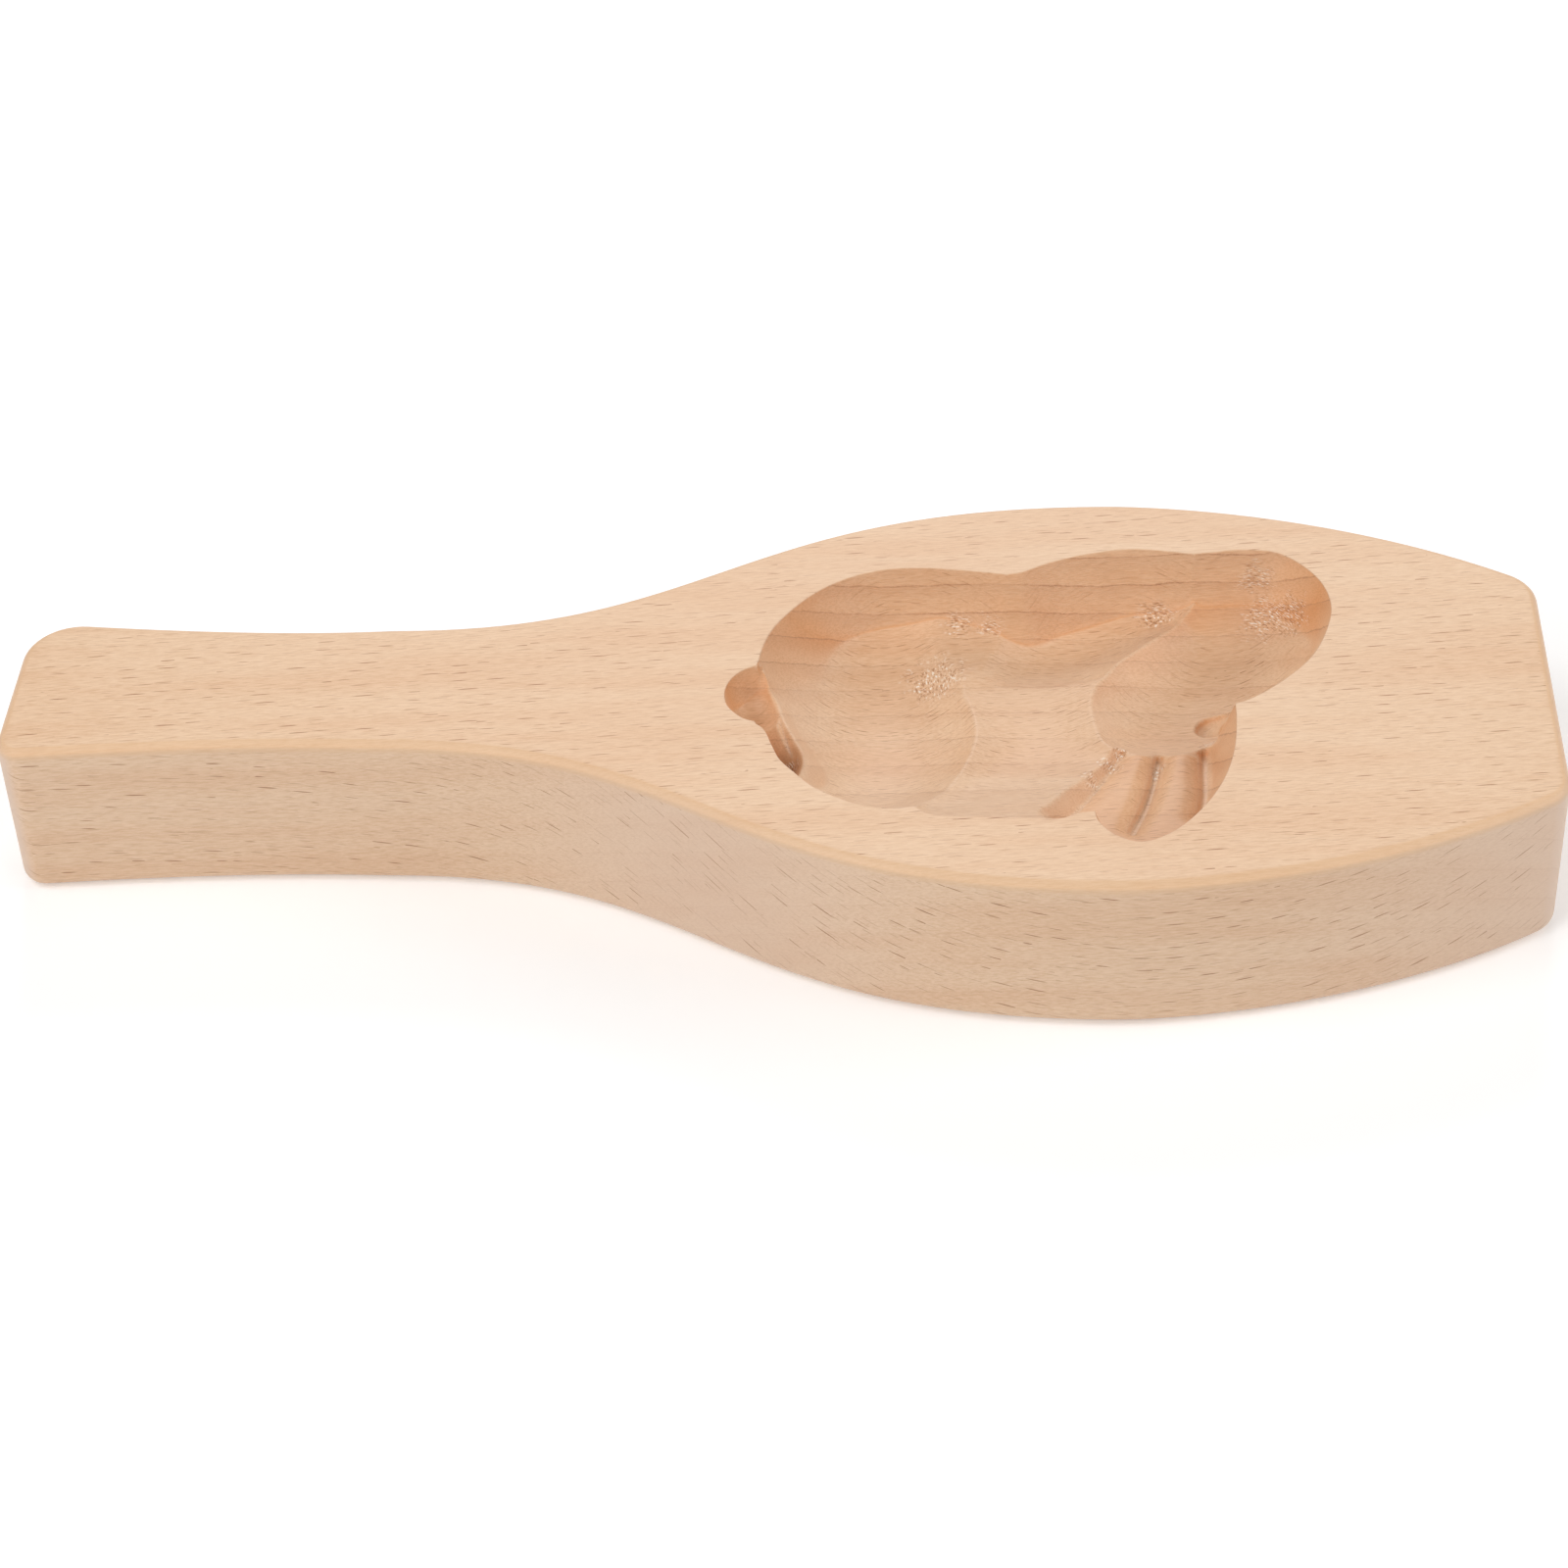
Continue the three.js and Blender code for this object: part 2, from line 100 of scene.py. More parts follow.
# The rim of the carving, in stretches that meet at corners. Each point is x, y in millimetres from the
# middle of the widest place of the head, then the steepness of the wall below it in degrees and the
# rounding between that wall and the floor.
HAUNCH_RIM = [
    (-58.6, 5.0, 62, 1.2), (-58.0, 9.5, 62, 2.5), (-56.5, 14.6, 60, 4.0), (-53.4, 20.0, 64, 4.0),
    (-49.0, 25.2, 72, 3.0), (-44.0, 28.8, 78, 1.8), (-38.5, 30.9, 80, 1.0), (-32.5, 31.5, 80, 0.8),
    (-26.0, 31.0, 80, 0.8), (-17.0, 29.6, 72, 1.2),
]
SHOULDER_RIM = [
    (-17.0, 29.6, 72, 1.2), (-14.7, 30.1, 71, 1.8), (-10.0, 32.7, 73, 1.8), (-4.0, 35.0, 75, 1.5),
    (4.5, 36.6, 78, 1.2), (15.0, 35.2, 80, 1.5),
]
HEAD_RIM = [
    (15.0, 35.2, 80, 1.5), (17.5, 35.5, 80, 4.0), (23.0, 36.3, 78, 5.0), (29.0, 35.5, 76, 4.0),
    (33.0, 32.2, 74, 3.0), (36.2, 27.0, 73, 2.0), (37.4, 21.0, 73, 1.5), (36.5, 15.0, 70, 1.5),
    (33.3, 6.9, 58, 2.5), (27.2, -0.4, 50, 3.0), (22.2, -4.4, 58, 2.0), (20.1, -5.4, 72, 1.0),
]
EAR_RIM = [
    (20.1, -5.4, 72, 1.0), (20.1, -9.0, 70, 1.2), (19.4, -16.8, 70, 1.2), (17.3, -24.5, 70, 1.2),
    (13.6, -31.5, 68, 1.2), (8.4, -37.4, 66, 1.2), (3.7, -39.5, 66, 1.2), (-0.3, -37.8, 66, 1.2),
    (-2.8, -34.6, 62, 1.2), (-3.4, -32.2, 56, 1.2),
]
BACK_RIM = [
    (-3.4, -32.2, 23, 3.0), (-5.7, -32.6, 23, 3.0), (-8.7, -33.9, 23, 3.0), (-12.6, -33.9, 23, 3.0),
    (-20.0, -33.6, 24, 3.0), (-28.0, -33.3, 28, 3.0), (-36.0, -32.1, 38, 3.0), (-42.4, -29.9, 48, 3.0),
    (-47.6, -26.7, 54, 2.5), (-50.6, -23.5, 60, 1.5),
]
TAIL_RIM = [
    (-50.6, -23.5, 70, 1.0), (-53.8, -19.3, 78, 0.8), (-55.2, -15.8, 80, 0.8), (-57.0, -11.3, 78, 1.0),
    (-60.8, -8.4, 70, 1.2), (-63.0, -5.5, 68, 1.5), (-63.6, -2.0, 68, 1.5), (-62.8, 1.2, 66, 1.5),
    (-61.0, 3.6, 64, 1.2), (-58.6, 5.0, 62, 1.2),
]
RIM = [HAUNCH_RIM, SHOULDER_RIM, HEAD_RIM, EAR_RIM, BACK_RIM, TAIL_RIM]

# Softness of the rim itself, the slope that rounds it off outwards, and how far beside it the face is
# worked on
RIM_SOFTNESS = 0.14
RIM_ROUND_SLOPE = 1.2
NEAR_RIM = 1.0

# Bowls of the floor: middle x and y, half sizes along, across and down, height of the middle above the
# face, and turn in degrees
HAUNCH = (-37.0, 8.0, 23.5, 44.0, 22.0, 8.3, 0.0)
BACK = (-22.0, 22.0, 40.0, 24.0, 24.0, 13.2, 0.0)
BELLY = (-12.0, 4.0, 26.0, 70.0, 20.0, 9.4, 0.0)
SHOULDER = (-5.1, 25.2, 44.5, 23.1, 40.0, 26.0, 35.7)
HEAD = (15.6, 13.1, 32.5, 19.3, 20.4, 4.6, 53.3)
TAIL = (-58.8, -1.6, 6.2, 8.4, 9.5, 2.5, 18.0)

# The eye: a round dish pressed into the floor of the head
EYE_X = 17.5
EYE_Y = 6.0
EYE_HALF_LENGTH = 3.0
EYE_HALF_WIDTH = 3.7
EYE_DEPTH = 2.0

# Crests between the bowls, each point x, y and depth. Within this reach a bowl is lifted or sunk, by no
# more than the limit, so that it passes through the crest.
HAUNCH_CREST = [
    (-28.7, 20.7, 11.2), (-25.7, 12.5, 10.2), (-23.5, 6.8, 9.4), (-22.4, 1.4, 8.9), (-22.2, -3.0, 8.5),
    (-22.8, -7.5, 7.9), (-23.9, -12.6, 6.8), (-25.5, -17.8, 5.6), (-27.5, -22.8, 4.4), (-30.9, -27.8, 2.8),
    (-34.7, -31.1, 1.2),
]
NECK_CREST = [
    (14.0, 34.7, 9.8), (13.1, 30.6, 10.6), (8.6, 24.9, 10.0), (4.4, 20.1, 9.6), (1.6, 16.9, 9.4),
    (-0.8, 12.6, 9.1), (-2.2, 9.9, 9.0), (-2.9, 7.1, 8.9), (-2.9, 3.6, 8.8), (-2.5, 0.2, 8.6),
    (-2.0, -2.6, 8.4), (-1.1, -5.3, 8.1), (1.4, -8.3, 7.8),
]
CREST_REACH = 6.0
CREST_LIMIT = 1.5

# Rounding of the creases where two cuts meet
BELLY_CREASE = 0.4
BACK_CREASE = 0.8
SHOULDER_CREASE = 0.6
TAIL_CREASE = 0.5
CREST_CREASE = 0.4
SHARP_CREASE = 0.3
FURROW_CREASE = 0.2

# Ridge left standing between the tail and the haunch, and the steepness of its flanks, left and right of
# the way along it, in degrees
TAIL_CREST = [
    (-58.6, 5.4, 0.3), (-58.0, 5.0, 2.2), (-57.6, 4.5, 3.2), (-56.8, 3.6, 4.2), (-55.4, 1.2, 4.8),
    (-54.6, -1.7, 4.9), (-53.5, -5.2, 4.6), (-52.0, -9.4, 4.0), (-50.5, -13.9, 3.2), (-50.0, -17.3, 2.4),
    (-50.2, -21.2, 1.2), (-50.4, -23.4, 0.2),
]
TAIL_FLANKS = (58, 60)

# Furrows between the ears, each point x, y and depth, then how far the furrow reaches towards the handle
# and towards the tip. Towards the handle the first furrow has a straight flank instead.
FURROWS = [
    ([(1.8, -7.1, 9.8), (-2.4, -15.9, 9.1), (-5.8, -23.4, 7.5), (-8.6, -29.3, 5.6)], 4.4, 5.4),
    ([(7.9, -7.3, 11.0), (6.7, -14.5, 10.5), (5.1, -21.7, 9.5), (2.8, -29.2, 8.0)], 3.8, 4.2),
    ([(15.4, -6.1, 11.0), (15.2, -12.1, 10.5), (14.8, -19.3, 9.7), (13.7, -25.7, 8.7)], 4.6, 25.0),
]

# Half the width of a furrow's floor, the steepness in degrees and the rounding of the ears' wall below the
# rim, and the slope of that straight flank
FURROW_FLOOR = 0.5
FURROW_WALL = 70
FURROW_ROUNDING = 0.6
FIRST_FLANK_SLOPE = 1.1

# The backs of the ears rise gently from the head to the near rim, and end steeply at the head
EAR_BACK_Y = -8.0
EAR_BACK_DEPTH = 8.4
EAR_BACK_SLOPE = 0.12
EAR_END_Y = -7.0
EAR_END_SLOPE = 1.2

# Groove beside the tail, and the steepness of its flanks, left and right of the way along it, then of the
# tail's wall below the rim, in degrees
TAIL_GROOVE = [
    (-58.8, -4.5, 6.6), (-57.0, -9.0, 7.0), (-55.9, -12.2, 7.2), (-54.6, -16.0, 7.4), (-53.2, -19.0, 7.4),
    (-52.0, -21.2, 6.4),
]
TAIL_GROOVE_FLANKS = (44, 82)
TAIL_WALL = 78

# Rounding along the middle of such a ridge or groove
LINE_ROUNDING = 0.5

# Painted shade: on the tail as far as its crest, and on the ears' backs clear of the furrows, each on the
# handle's side of its own x. Then darker painted shade at the end of the groove beside the tail.
TAIL_SHADE_X = -49.4
TAIL_SHADE_EDGE = 0.5
EAR_SHADE_X = 14.0
EAR_SHADE_REACH = 1.0
GROOVE_SHADE_X = -51.5
GROOVE_SHADE_Y = -17.0
GROOVE_SHADE_REACH = 7.0
GROOVE_SHADE_FADE = 0.7

# Fineness of the carved surface: points on each stretch of a line and round each corner of the rim, then
# distances along the rim, outwards and inwards from it, and on the floor
LINE_STEPS = 6
CORNER_FAN = 9
FAN_LEAST = 0.1
RIM_SPACING = 0.45
RIM_STEPS = [-0.6, -0.3, -0.16, -0.08, -0.03]
WALL_STEPS = [0.05, 0.13, 0.26, 0.45, 0.62, 0.8, 1.0, 1.25, 1.5, 1.8, 2.1, 2.4]
STEP_SLACK = 0.03
FLOOR_SPACING = 0.34

# The net of triangles is kept inside the board's edge and welded to it, and wood this deep below the face
# counts as carved in full
KEEP_INSIDE = 1
NET_TOLERANCE = 1e-5
WELD = 0.002
CARVED_DEPTH = 0.15


class MouldSizes(bpy.types.PropertyGroup):
    """Sizes of the board"""

    thickness: bpy.props.FloatProperty(
        name="Thickness", description="Height of the board", unit="LENGTH",
        default=NODE_HIGH.z - NODE_LOW.z, min=0.02)
    edge_radius: bpy.props.FloatProperty(
        name="Edge radius", description="Rounding of the top edge", unit="LENGTH",
        default=1.5 * MM, min=0.5 * MM, max=3.0 * MM)
    foot_radius: bpy.props.FloatProperty(
        name="Foot radius", description="Rounding of the bottom edge", unit="LENGTH",
        default=2.6 * MM, min=0.5 * MM, max=3.0 * MM)


class BeechLook(bpy.types.PropertyGroup):
    """Colours and grain of the wood"""

    pale: bpy.props.FloatVectorProperty(
        name="Pale wood", description="Lightest colour of the planed face", subtype="COLOR",
        size=3, min=0, max=1, default=(0.857, 0.607, 0.41))
    warm: bpy.props.FloatVectorProperty(
        name="Warm wood", description="Darker bands of the planed face", subtype="COLOR",
        size=3, min=0, max=1, default=(0.818, 0.545, 0.35))
    ring: bpy.props.FloatVectorProperty(
        name="Ring line", description="Late wood at the edge of a growth ring", subtype="COLOR",
        size=3, min=0, max=1, default=(0.42, 0.20, 0.11))
    fleck: bpy.props.FloatVectorProperty(
        name="Ray fleck", description="Tint of the short dark rays", subtype="COLOR",
        size=3, min=0, max=1, default=(0.50, 0.34, 0.25))
    end_grain: bpy.props.FloatVectorProperty(
        name="Cut grain", description="Wood where the fibres are cut across", subtype="COLOR",
        size=3, min=0, max=1, default=(0.74, 0.535, 0.40))
    # Partly the wood's tint where the carving cuts square to the rings, partly painted shade on the carving's
    # walls
    quarter_and_shade: bpy.props.FloatVectorProperty(
        name="Quarter-cut tint", description="Tint of carved wood that is cut square to its rings",
        subtype="COLOR", size=3, min=0, max=1, default=(0.955, 0.745, 0.56))
    burnished: bpy.props.FloatVectorProperty(
        name="Rounded edge", description="Wood on the sanded edges", subtype="COLOR",
        size=3, min=0, max=1, default=(0.80, 0.51, 0.295))
    side: bpy.props.FloatVectorProperty(
        name="Side tint", description="Tint of the sawn and sanded sides", subtype="COLOR",
        size=3, min=0, max=1, default=(0.865, 0.895, 0.94))
    # Painted shade: the level floor of the carving, painted darker and warmer as the bottom of a hollow gets
    # less light
    floor_shade: bpy.props.FloatVectorProperty(
        name="Floor tint", description="Tint of the floor of the carving, rubbed with oil from the dough",
        subtype="COLOR", size=3, min=0, max=1, default=(0.945, 0.905, 0.87))
    # Painted light: carved faces turned to the tip, or up towards the back, painted paler and cooler
    lit_side_tint: bpy.props.FloatVectorProperty(
        name="Lifted tint", description="Tint of carved wood where the cut fibres stand up", subtype="COLOR",
        size=3, min=0, max=1.2, default=(0.99, 1.01, 1.06))
    # Painted shade: the narrow deep end of the groove beside the tail, painted dark
    stain: bpy.props.FloatVectorProperty(
        name="Stain", description="Tint of the narrow end of the tail, where dough has darkened it",
        subtype="COLOR", size=3, min=0, max=1, default=(0.60, 0.48, 0.38))
    fibre: bpy.props.FloatVectorProperty(
        name="Fibre tint", description="Tint of the darker fibres", subtype="COLOR",
        size=3, min=0, max=1, default=(0.86, 0.79, 0.71))
    # Painted highlight: the glints of the small ragged scales where the tool tore the fibres
    torn_and_glint: bpy.props.FloatVectorProperty(
        name="Torn fibres", description="Small raised fibres that catch the light", subtype="COLOR",
        size=3, min=0, max=1, default=(1.0, 0.93, 0.83))
    ring_width: bpy.props.FloatProperty(
        name="Ring width", description="Distance between two ring lines, square to the rings",
        unit="LENGTH", default=4.6 * MM, min=1.0 * MM)
    roughness: bpy.props.FloatProperty(
        name="Roughness", description="Roughness of the sanded wood", subtype="FACTOR",
        default=0.46, min=0, max=1)


class StudioLook(bpy.types.PropertyGroup):
    """Floor and light"""

    floor: bpy.props.FloatVectorProperty(
        name="Floor", description="Colour of the table", subtype="COLOR",
        size=3, min=0, max=1, default=(0.96, 0.96, 0.96))
    floor_glow: bpy.props.FloatProperty(
        name="Floor glow", description="Light that the table gives off itself, so that it looks white",
        default=0.16, min=0)
    front_left: bpy.props.FloatProperty(
        name="Front left", description="Soft light over the viewer's left shoulder", subtype="POWER",
        default=8.8, min=0)
    top_left: bpy.props.FloatProperty(
        name="Top left", description="Soft light high above the handle", subtype="POWER",
        default=7.0, min=0)
    right: bpy.props.FloatProperty(
        name="Right", description="Soft light beyond the head's end", subtype="POWER",
        default=8.0, min=0)
    back: bpy.props.FloatProperty(
        name="Back", description="Soft light behind the mould", subtype="POWER",
        default=9.0, min=0)
    front_right: bpy.props.FloatProperty(
        name="Front right", description="Weak light that opens the shadows", subtype="POWER",
        default=3.2, min=0)
    room: bpy.props.FloatProperty(
        name="Room light", description="Strength of the even light from all round", default=0.21, min=0)


class CookieMould(bpy.types.PropertyGroup):
    """Everything that can be set on the mould"""

    sizes: bpy.props.PointerProperty(type=MouldSizes)
    beech: bpy.props.PointerProperty(type=BeechLook)
    studio: bpy.props.PointerProperty(type=StudioLook)


def deeper(a, b, blend):
    """The larger of two depths, rounded where they are within blend of each other."""
    share = np.clip(0.5 + 0.5 * (a - b) / blend, 0, 1)
    return b + (a - b) * share + blend * share * (1 - share)


def shallower(a, b, blend):
    """The smaller of two depths, rounded in the same way."""
    return -deeper(-a, -b, blend)


def smooth_line(points, steps):
    """Points on a smooth centripetal curve through the given points, with the last one.

    A whole number of steps is taken between two given points, or else steps of about that length.
    """
    given = np.array(points, float)
    padded = np.vstack([2 * given[0] - given[1], given, 2 * given[-1] - given[-2]])
    line = []
    for i in range(1, len(padded) - 2):
        p0, p1, p2, p3 = padded[i - 1:i + 3]
        t0 = 0.0
        t1 = t0 + math.sqrt(math.dist(p0[:2], p1[:2]))
        t2 = t1 + math.sqrt(math.dist(p1[:2], p2[:2]))
        t3 = t2 + math.sqrt(math.dist(p2[:2], p3[:2]))
        count = steps if isinstance(steps, int) else max(2, round(math.dist(p1[:2], p2[:2]) / steps))
        for t in np.linspace(t1, t2, count, endpoint=False):
            a1 = ((t1 - t) * p0 + (t - t0) * p1) / (t1 - t0)
            a2 = ((t2 - t) * p1 + (t - t1) * p2) / (t2 - t1)
            a3 = ((t3 - t) * p2 + (t - t2) * p3) / (t3 - t2)
            b1 = ((t2 - t) * a1 + (t - t0) * a2) / (t2 - t0)
            b2 = ((t3 - t) * a2 + (t - t1) * a3) / (t3 - t1)
            line.append(((t2 - t) * b1 + (t - t1) * b2) / (t2 - t1))
    line.append(given[-1])
    return np.array(line)


def nearest(line, places):
    """Distance of each place to a line, its side (+1 right of the way along it) and the line's values."""
    best = np.full(len(places), np.inf)
    side = np.ones(len(places))
    values = np.zeros((len(places), line.shape[1] - 2))
    for start, end in zip(line[:-1], line[1:]):
        run = end[:2] - start[:2]
        length2 = run @ run
        if length2 < HAIR ** 2:
            continue
        off = places - start[:2]
        along = np.clip(off @ run / length2, 0, 1)
        distance = np.hypot(off[:, 0] - along * run[0], off[:, 1] - along * run[1])
        closer = distance < best
        best[closer] = distance[closer]
        cross = off[closer, 0] * run[1] - off[closer, 1] * run[0]
        side[closer] = np.where(cross < 0, -1, 1)
        values[closer] = start[2:] + along[closer, None] * (end[2:] - start[2:])
    return best, side, values


def inside(line, places):
    """True for each place that lies inside a closed line."""
    within = np.zeros(len(places), bool)
    for start, end in zip(line, np.roll(line, -1, axis=0)):
        if start[1] == end[1]:
            continue
        spans = (start[1] > places[:, 1]) != (end[1] > places[:, 1])
        cross_x = start[0] + (places[:, 1] - start[1]) / (end[1] - start[1]) * (end[0] - start[0])
        within ^= spans & (places[:, 0] < cross_x)
    return within


def bowl(shape, places):
    """Depth of a bowl at each place, negative outside it."""
    x, y, long, wide, high, above, turn = shape
    cos, sin = math.cos(math.radians(turn)), math.sin(math.radians(turn))
    off_x, off_y = places[:, 0] - x, places[:, 1] - y
    along = off_x * cos + off_y * sin
    across = off_y * cos - off_x * sin
    rest = 1 - (along / long) ** 2 - (across / wide) ** 2
    return np.sign(rest) * high * np.sqrt(np.abs(rest)) - above


def held_at(crest, shape, places):
    """Depth of a bowl that is lifted or sunk a little beside a crest, so that it passes through it."""
    line = smooth_line(crest, LINE_STEPS)
    miss = np.clip(line[:, 2] - bowl(shape, line[:, :2]), -CREST_LIMIT, CREST_LIMIT)
    distance, _, values = nearest(np.column_stack([line[:, :2], miss]), places)
    return bowl(shape, places) + values[:, 0] * np.exp(-(distance / CREST_REACH) ** 2)


def ears_at(places):
    """Depth of the ears: rounded backs with furrows between them."""
    back = EAR_BACK_DEPTH + EAR_BACK_SLOPE * np.minimum(places[:, 1] - EAR_BACK_Y, 0)
    back -= EAR_END_SLOPE * np.maximum(places[:, 1] - EAR_END_Y, 0)
    cut = np.zeros(len(places))
    for points, to_handle, to_tip in FURROWS:
        distance, side, values = nearest(smooth_line(points, LINE_STEPS), places)
        share = np.maximum(distance - FURROW_FLOOR, 0) / np.where(side > 0, to_handle, to_tip)
        roundness = 1 - np.sqrt(1 - (1 - np.minimum(share, 1)) ** 2)
        cut = deeper(cut, (values[:, 0] - back) * roundness, FURROW_CREASE)
    distance, side, values = nearest(smooth_line(FURROWS[0][0], LINE_STEPS), places)
    return np.where(side > 0, values[:, 0] - FIRST_FLANK_SLOPE * distance, back + cut)


def straight_flanks(points, left, right, places):
    """Depth of a line at its nearest point, and how far straight flanks have risen or fallen from it."""
    distance, side, values = nearest(smooth_line(points, LINE_STEPS), places)
    slope = np.where(side > 0, math.tan(math.radians(right)), math.tan(math.radians(left)))
    return values[:, 0], (np.hypot(distance, LINE_ROUNDING) - LINE_ROUNDING) * slope


def rim_line():
    """The closed rim: x, y, steepness of the wall and rounding at its foot. Its stretches too."""
    stretches = [smooth_line(points, RIM_SPACING) for points in RIM]
    return np.vstack([stretch[:-1] for stretch in stretches]), stretches


def depth_at(places, stretches, within):
    """Depth of the carving at each place, in millimetres below the face."""
    haunch = held_at(HAUNCH_CREST, HAUNCH, places)
    belly = held_at(HAUNCH_CREST, BELLY, places)
    belly += held_at(NECK_CREST, BELLY, places) - bowl(BELLY, places)
    depth = deeper(deeper(haunch, belly, BELLY_CREASE), bowl(BACK, places), BACK_CREASE)
    depth = deeper(depth, held_at(NECK_CREST, SHOULDER, places), SHOULDER_CREASE)
    depth = deeper(depth, held_at(NECK_CREST, HEAD, places), SHARP_CREASE)

    rim_distance = np.full(len(places), np.inf)
    for stretch in stretches:
        distance, _, values = nearest(stretch, places)
        rim_distance = np.minimum(rim_distance, distance)
        depth = shallower(depth, distance * np.tan(np.radians(values[:, 0])), values[:, 1])
    furrow_fall = rim_distance * math.tan(math.radians(FURROW_WALL))
    depth = deeper(depth, shallower(furrow_fall, ears_at(places), FURROW_ROUNDING), SHARP_CREASE)

    bed, flank = straight_flanks(TAIL_GROOVE, *TAIL_GROOVE_FLANKS, places)
    tail = deeper(bed - flank, bowl(TAIL, places), TAIL_CREASE)
    tail_fall = rim_distance * math.tan(math.radians(TAIL_WALL))
    depth = deeper(depth, shallower(tail_fall, tail, FURROW_ROUNDING), SHARP_CREASE)
    crest, flank = straight_flanks(TAIL_CREST, *TAIL_FLANKS, places)
    depth = shallower(depth, crest + flank, CREST_CREASE)

    from_eye = np.hypot((places[:, 0] - EYE_X) / EYE_HALF_LENGTH, (places[:, 1] - EYE_Y) / EYE_HALF_WIDTH)
    depth += EYE_DEPTH * np.sqrt(np.maximum(1 - from_eye ** 2, 0))
    depth = np.where(within, depth, -rim_distance * RIM_ROUND_SLOPE)
    return deeper(depth, np.zeros(len(places)), RIM_SOFTNESS)


def rim_points(stretches, rim):
    """Places beside the rim at set distances from it, dense enough for its steep walls."""
    samples = []
    for stretch, following in zip(stretches, stretches[1:] + stretches[:1]):
        run = np.gradient(stretch[:, :2], axis=0)
        inward = np.stack([run[:, 1], -run[:, 0]], 1) / np.hypot(run[:, 0], run[:, 1])[:, None]
        samples += list(zip(stretch[:-1, :2], inward[:-1]))
        next_run = following[1, :2] - following[0, :2]
        next_inward = np.array([next_run[1], -next_run[0]]) / math.hypot(*next_run)
        for share in np.linspace(0, 1, CORNER_FAN):
            between = (1 - share) * inward[-1] + share * next_inward
            if math.hypot(*between) > FAN_LEAST:
                samples.append((stretch[-1, :2], between / math.hypot(*between)))
    closed = np.vstack([rim, rim[:1]])
    places = [rim[:, :2]]
    for step in RIM_STEPS + WALL_STEPS:
        ring = np.array([point + inward * step for point, inward in samples])
        distance, _, _ = nearest(closed, ring)
        places.append(ring[distance > abs(step) - STEP_SLACK])
    return np.vstack(places)


def floor_points(rim):
    """Evenly spaced places on the floor of the carving, in a net of triangles."""
    low, high = rim[:, :2].min(0), rim[:, :2].max(0)
    row_height = FLOOR_SPACING * math.sqrt(3) / 2
    rows = np.arange(low[1], high[1], row_height)
    columns = np.arange(low[0], high[0], FLOOR_SPACING)
    grid = np.array([(x + FLOOR_SPACING / 2 * (i % 2), y) for i, y in enumerate(rows) for x in columns])
    grid = grid[inside(rim, grid)]
    distance, _, _ = nearest(np.vstack([rim, rim[:1]]), grid)
    return grid[distance > WALL_STEPS[-1] + FLOOR_SPACING / 2]


def corner(x, half_width, inward, slope, radius):
    """Points of the corner between a straight end and the side that leaves it at a slope."""
    slant = math.hypot(1, slope)
    centre = Vector((x + inward * radius, half_width + inward * slope * radius - radius * slant))
    end_angle = math.pi if inward > 0 else 0.0
    side_angle = math.atan2(1, -slope)
    turn = (side_angle - end_angle) / CORNER_STEPS
    angles = [end_angle + i * turn for i in range(CORNER_STEPS + 1)]
    return [centre + radius * Vector((math.cos(a), math.sin(a))) for a in angles]


def leaning_curve(start, start_slope, end, end_slope, run, share):
    """Points of a cubic curve that leaves its start and reaches its end at the given slopes."""
    first = start + Vector((run * share[0], run * share[0] * start_slope))
    last = end - Vector((run * share[1], run * share[1] * end_slope))
    points = []
    for i in range(CURVE_STEPS + 1):
        t = i / CURVE_STEPS
        s = 1 - t
        points.append(s ** 3 * start + 3 * s * s * t * first + 3 * s * t * t * last + t ** 3 * end)
    return points


def side_line(handle_radius, tip_radius):
    """Half of the outline on the +Y side, from the handle's end to the tip, with the given corners."""
    handle = corner(HANDLE_X, HANDLE_END_WIDTH / 2, 1, HANDLE_SLOPE, handle_radius)
    tip = corner(TIP_X, TIP_WIDTH / 2, -1, TIP_SLOPE, tip_radius)[::-1]
    waist = Vector((WAIST_X, WAIST_WIDTH / 2))
    widest = Vector((HEAD_X, HEAD_WIDTH / 2))
    side = handle[:-1]
    side += leaning_curve(handle[-1], HANDLE_SLOPE, waist, 0, HANDLE_LENGTH, HANDLE_CURVE)[:-1]
    side += leaning_curve(waist, 0, widest, 0, NECK_LENGTH, NECK_CURVE)[:-1]
    side += leaning_curve(widest, 0, tip[0], TIP_SLOPE, HEAD_LENGTH, HEAD_CURVE)[:-1]
    return side + tip


def board_outline():
    """The board's outline in millimetres, counterclockwise from the handle's end on the -Y side."""
    near = side_line(NEAR_HANDLE_RADIUS, NEAR_TIP_RADIUS)
    far = side_line(FAR_HANDLE_RADIUS, FAR_TIP_RADIUS)
    return [Vector((p.x, -p.y)) for p in near] + far[::-1]


def only(piece):
    """Makes a piece the only selected and the active object."""
    bpy.ops.object.select_all(action="DESELECT")
    piece.select_set(True)
    bpy.context.view_layer.objects.active = piece


def select_edges(piece, wanted):
    """Selects in edit mode the edges of a piece that the test wants."""
    mesh = bmesh.from_edit_mesh(piece.data)
    bpy.ops.mesh.select_all(action="DESELECT")
    bpy.ops.mesh.select_mode(type="EDGE")
    for edge in mesh.edges:
        edge.select_set(wanted(edge))
    bmesh.update_edit_mesh(piece.data)


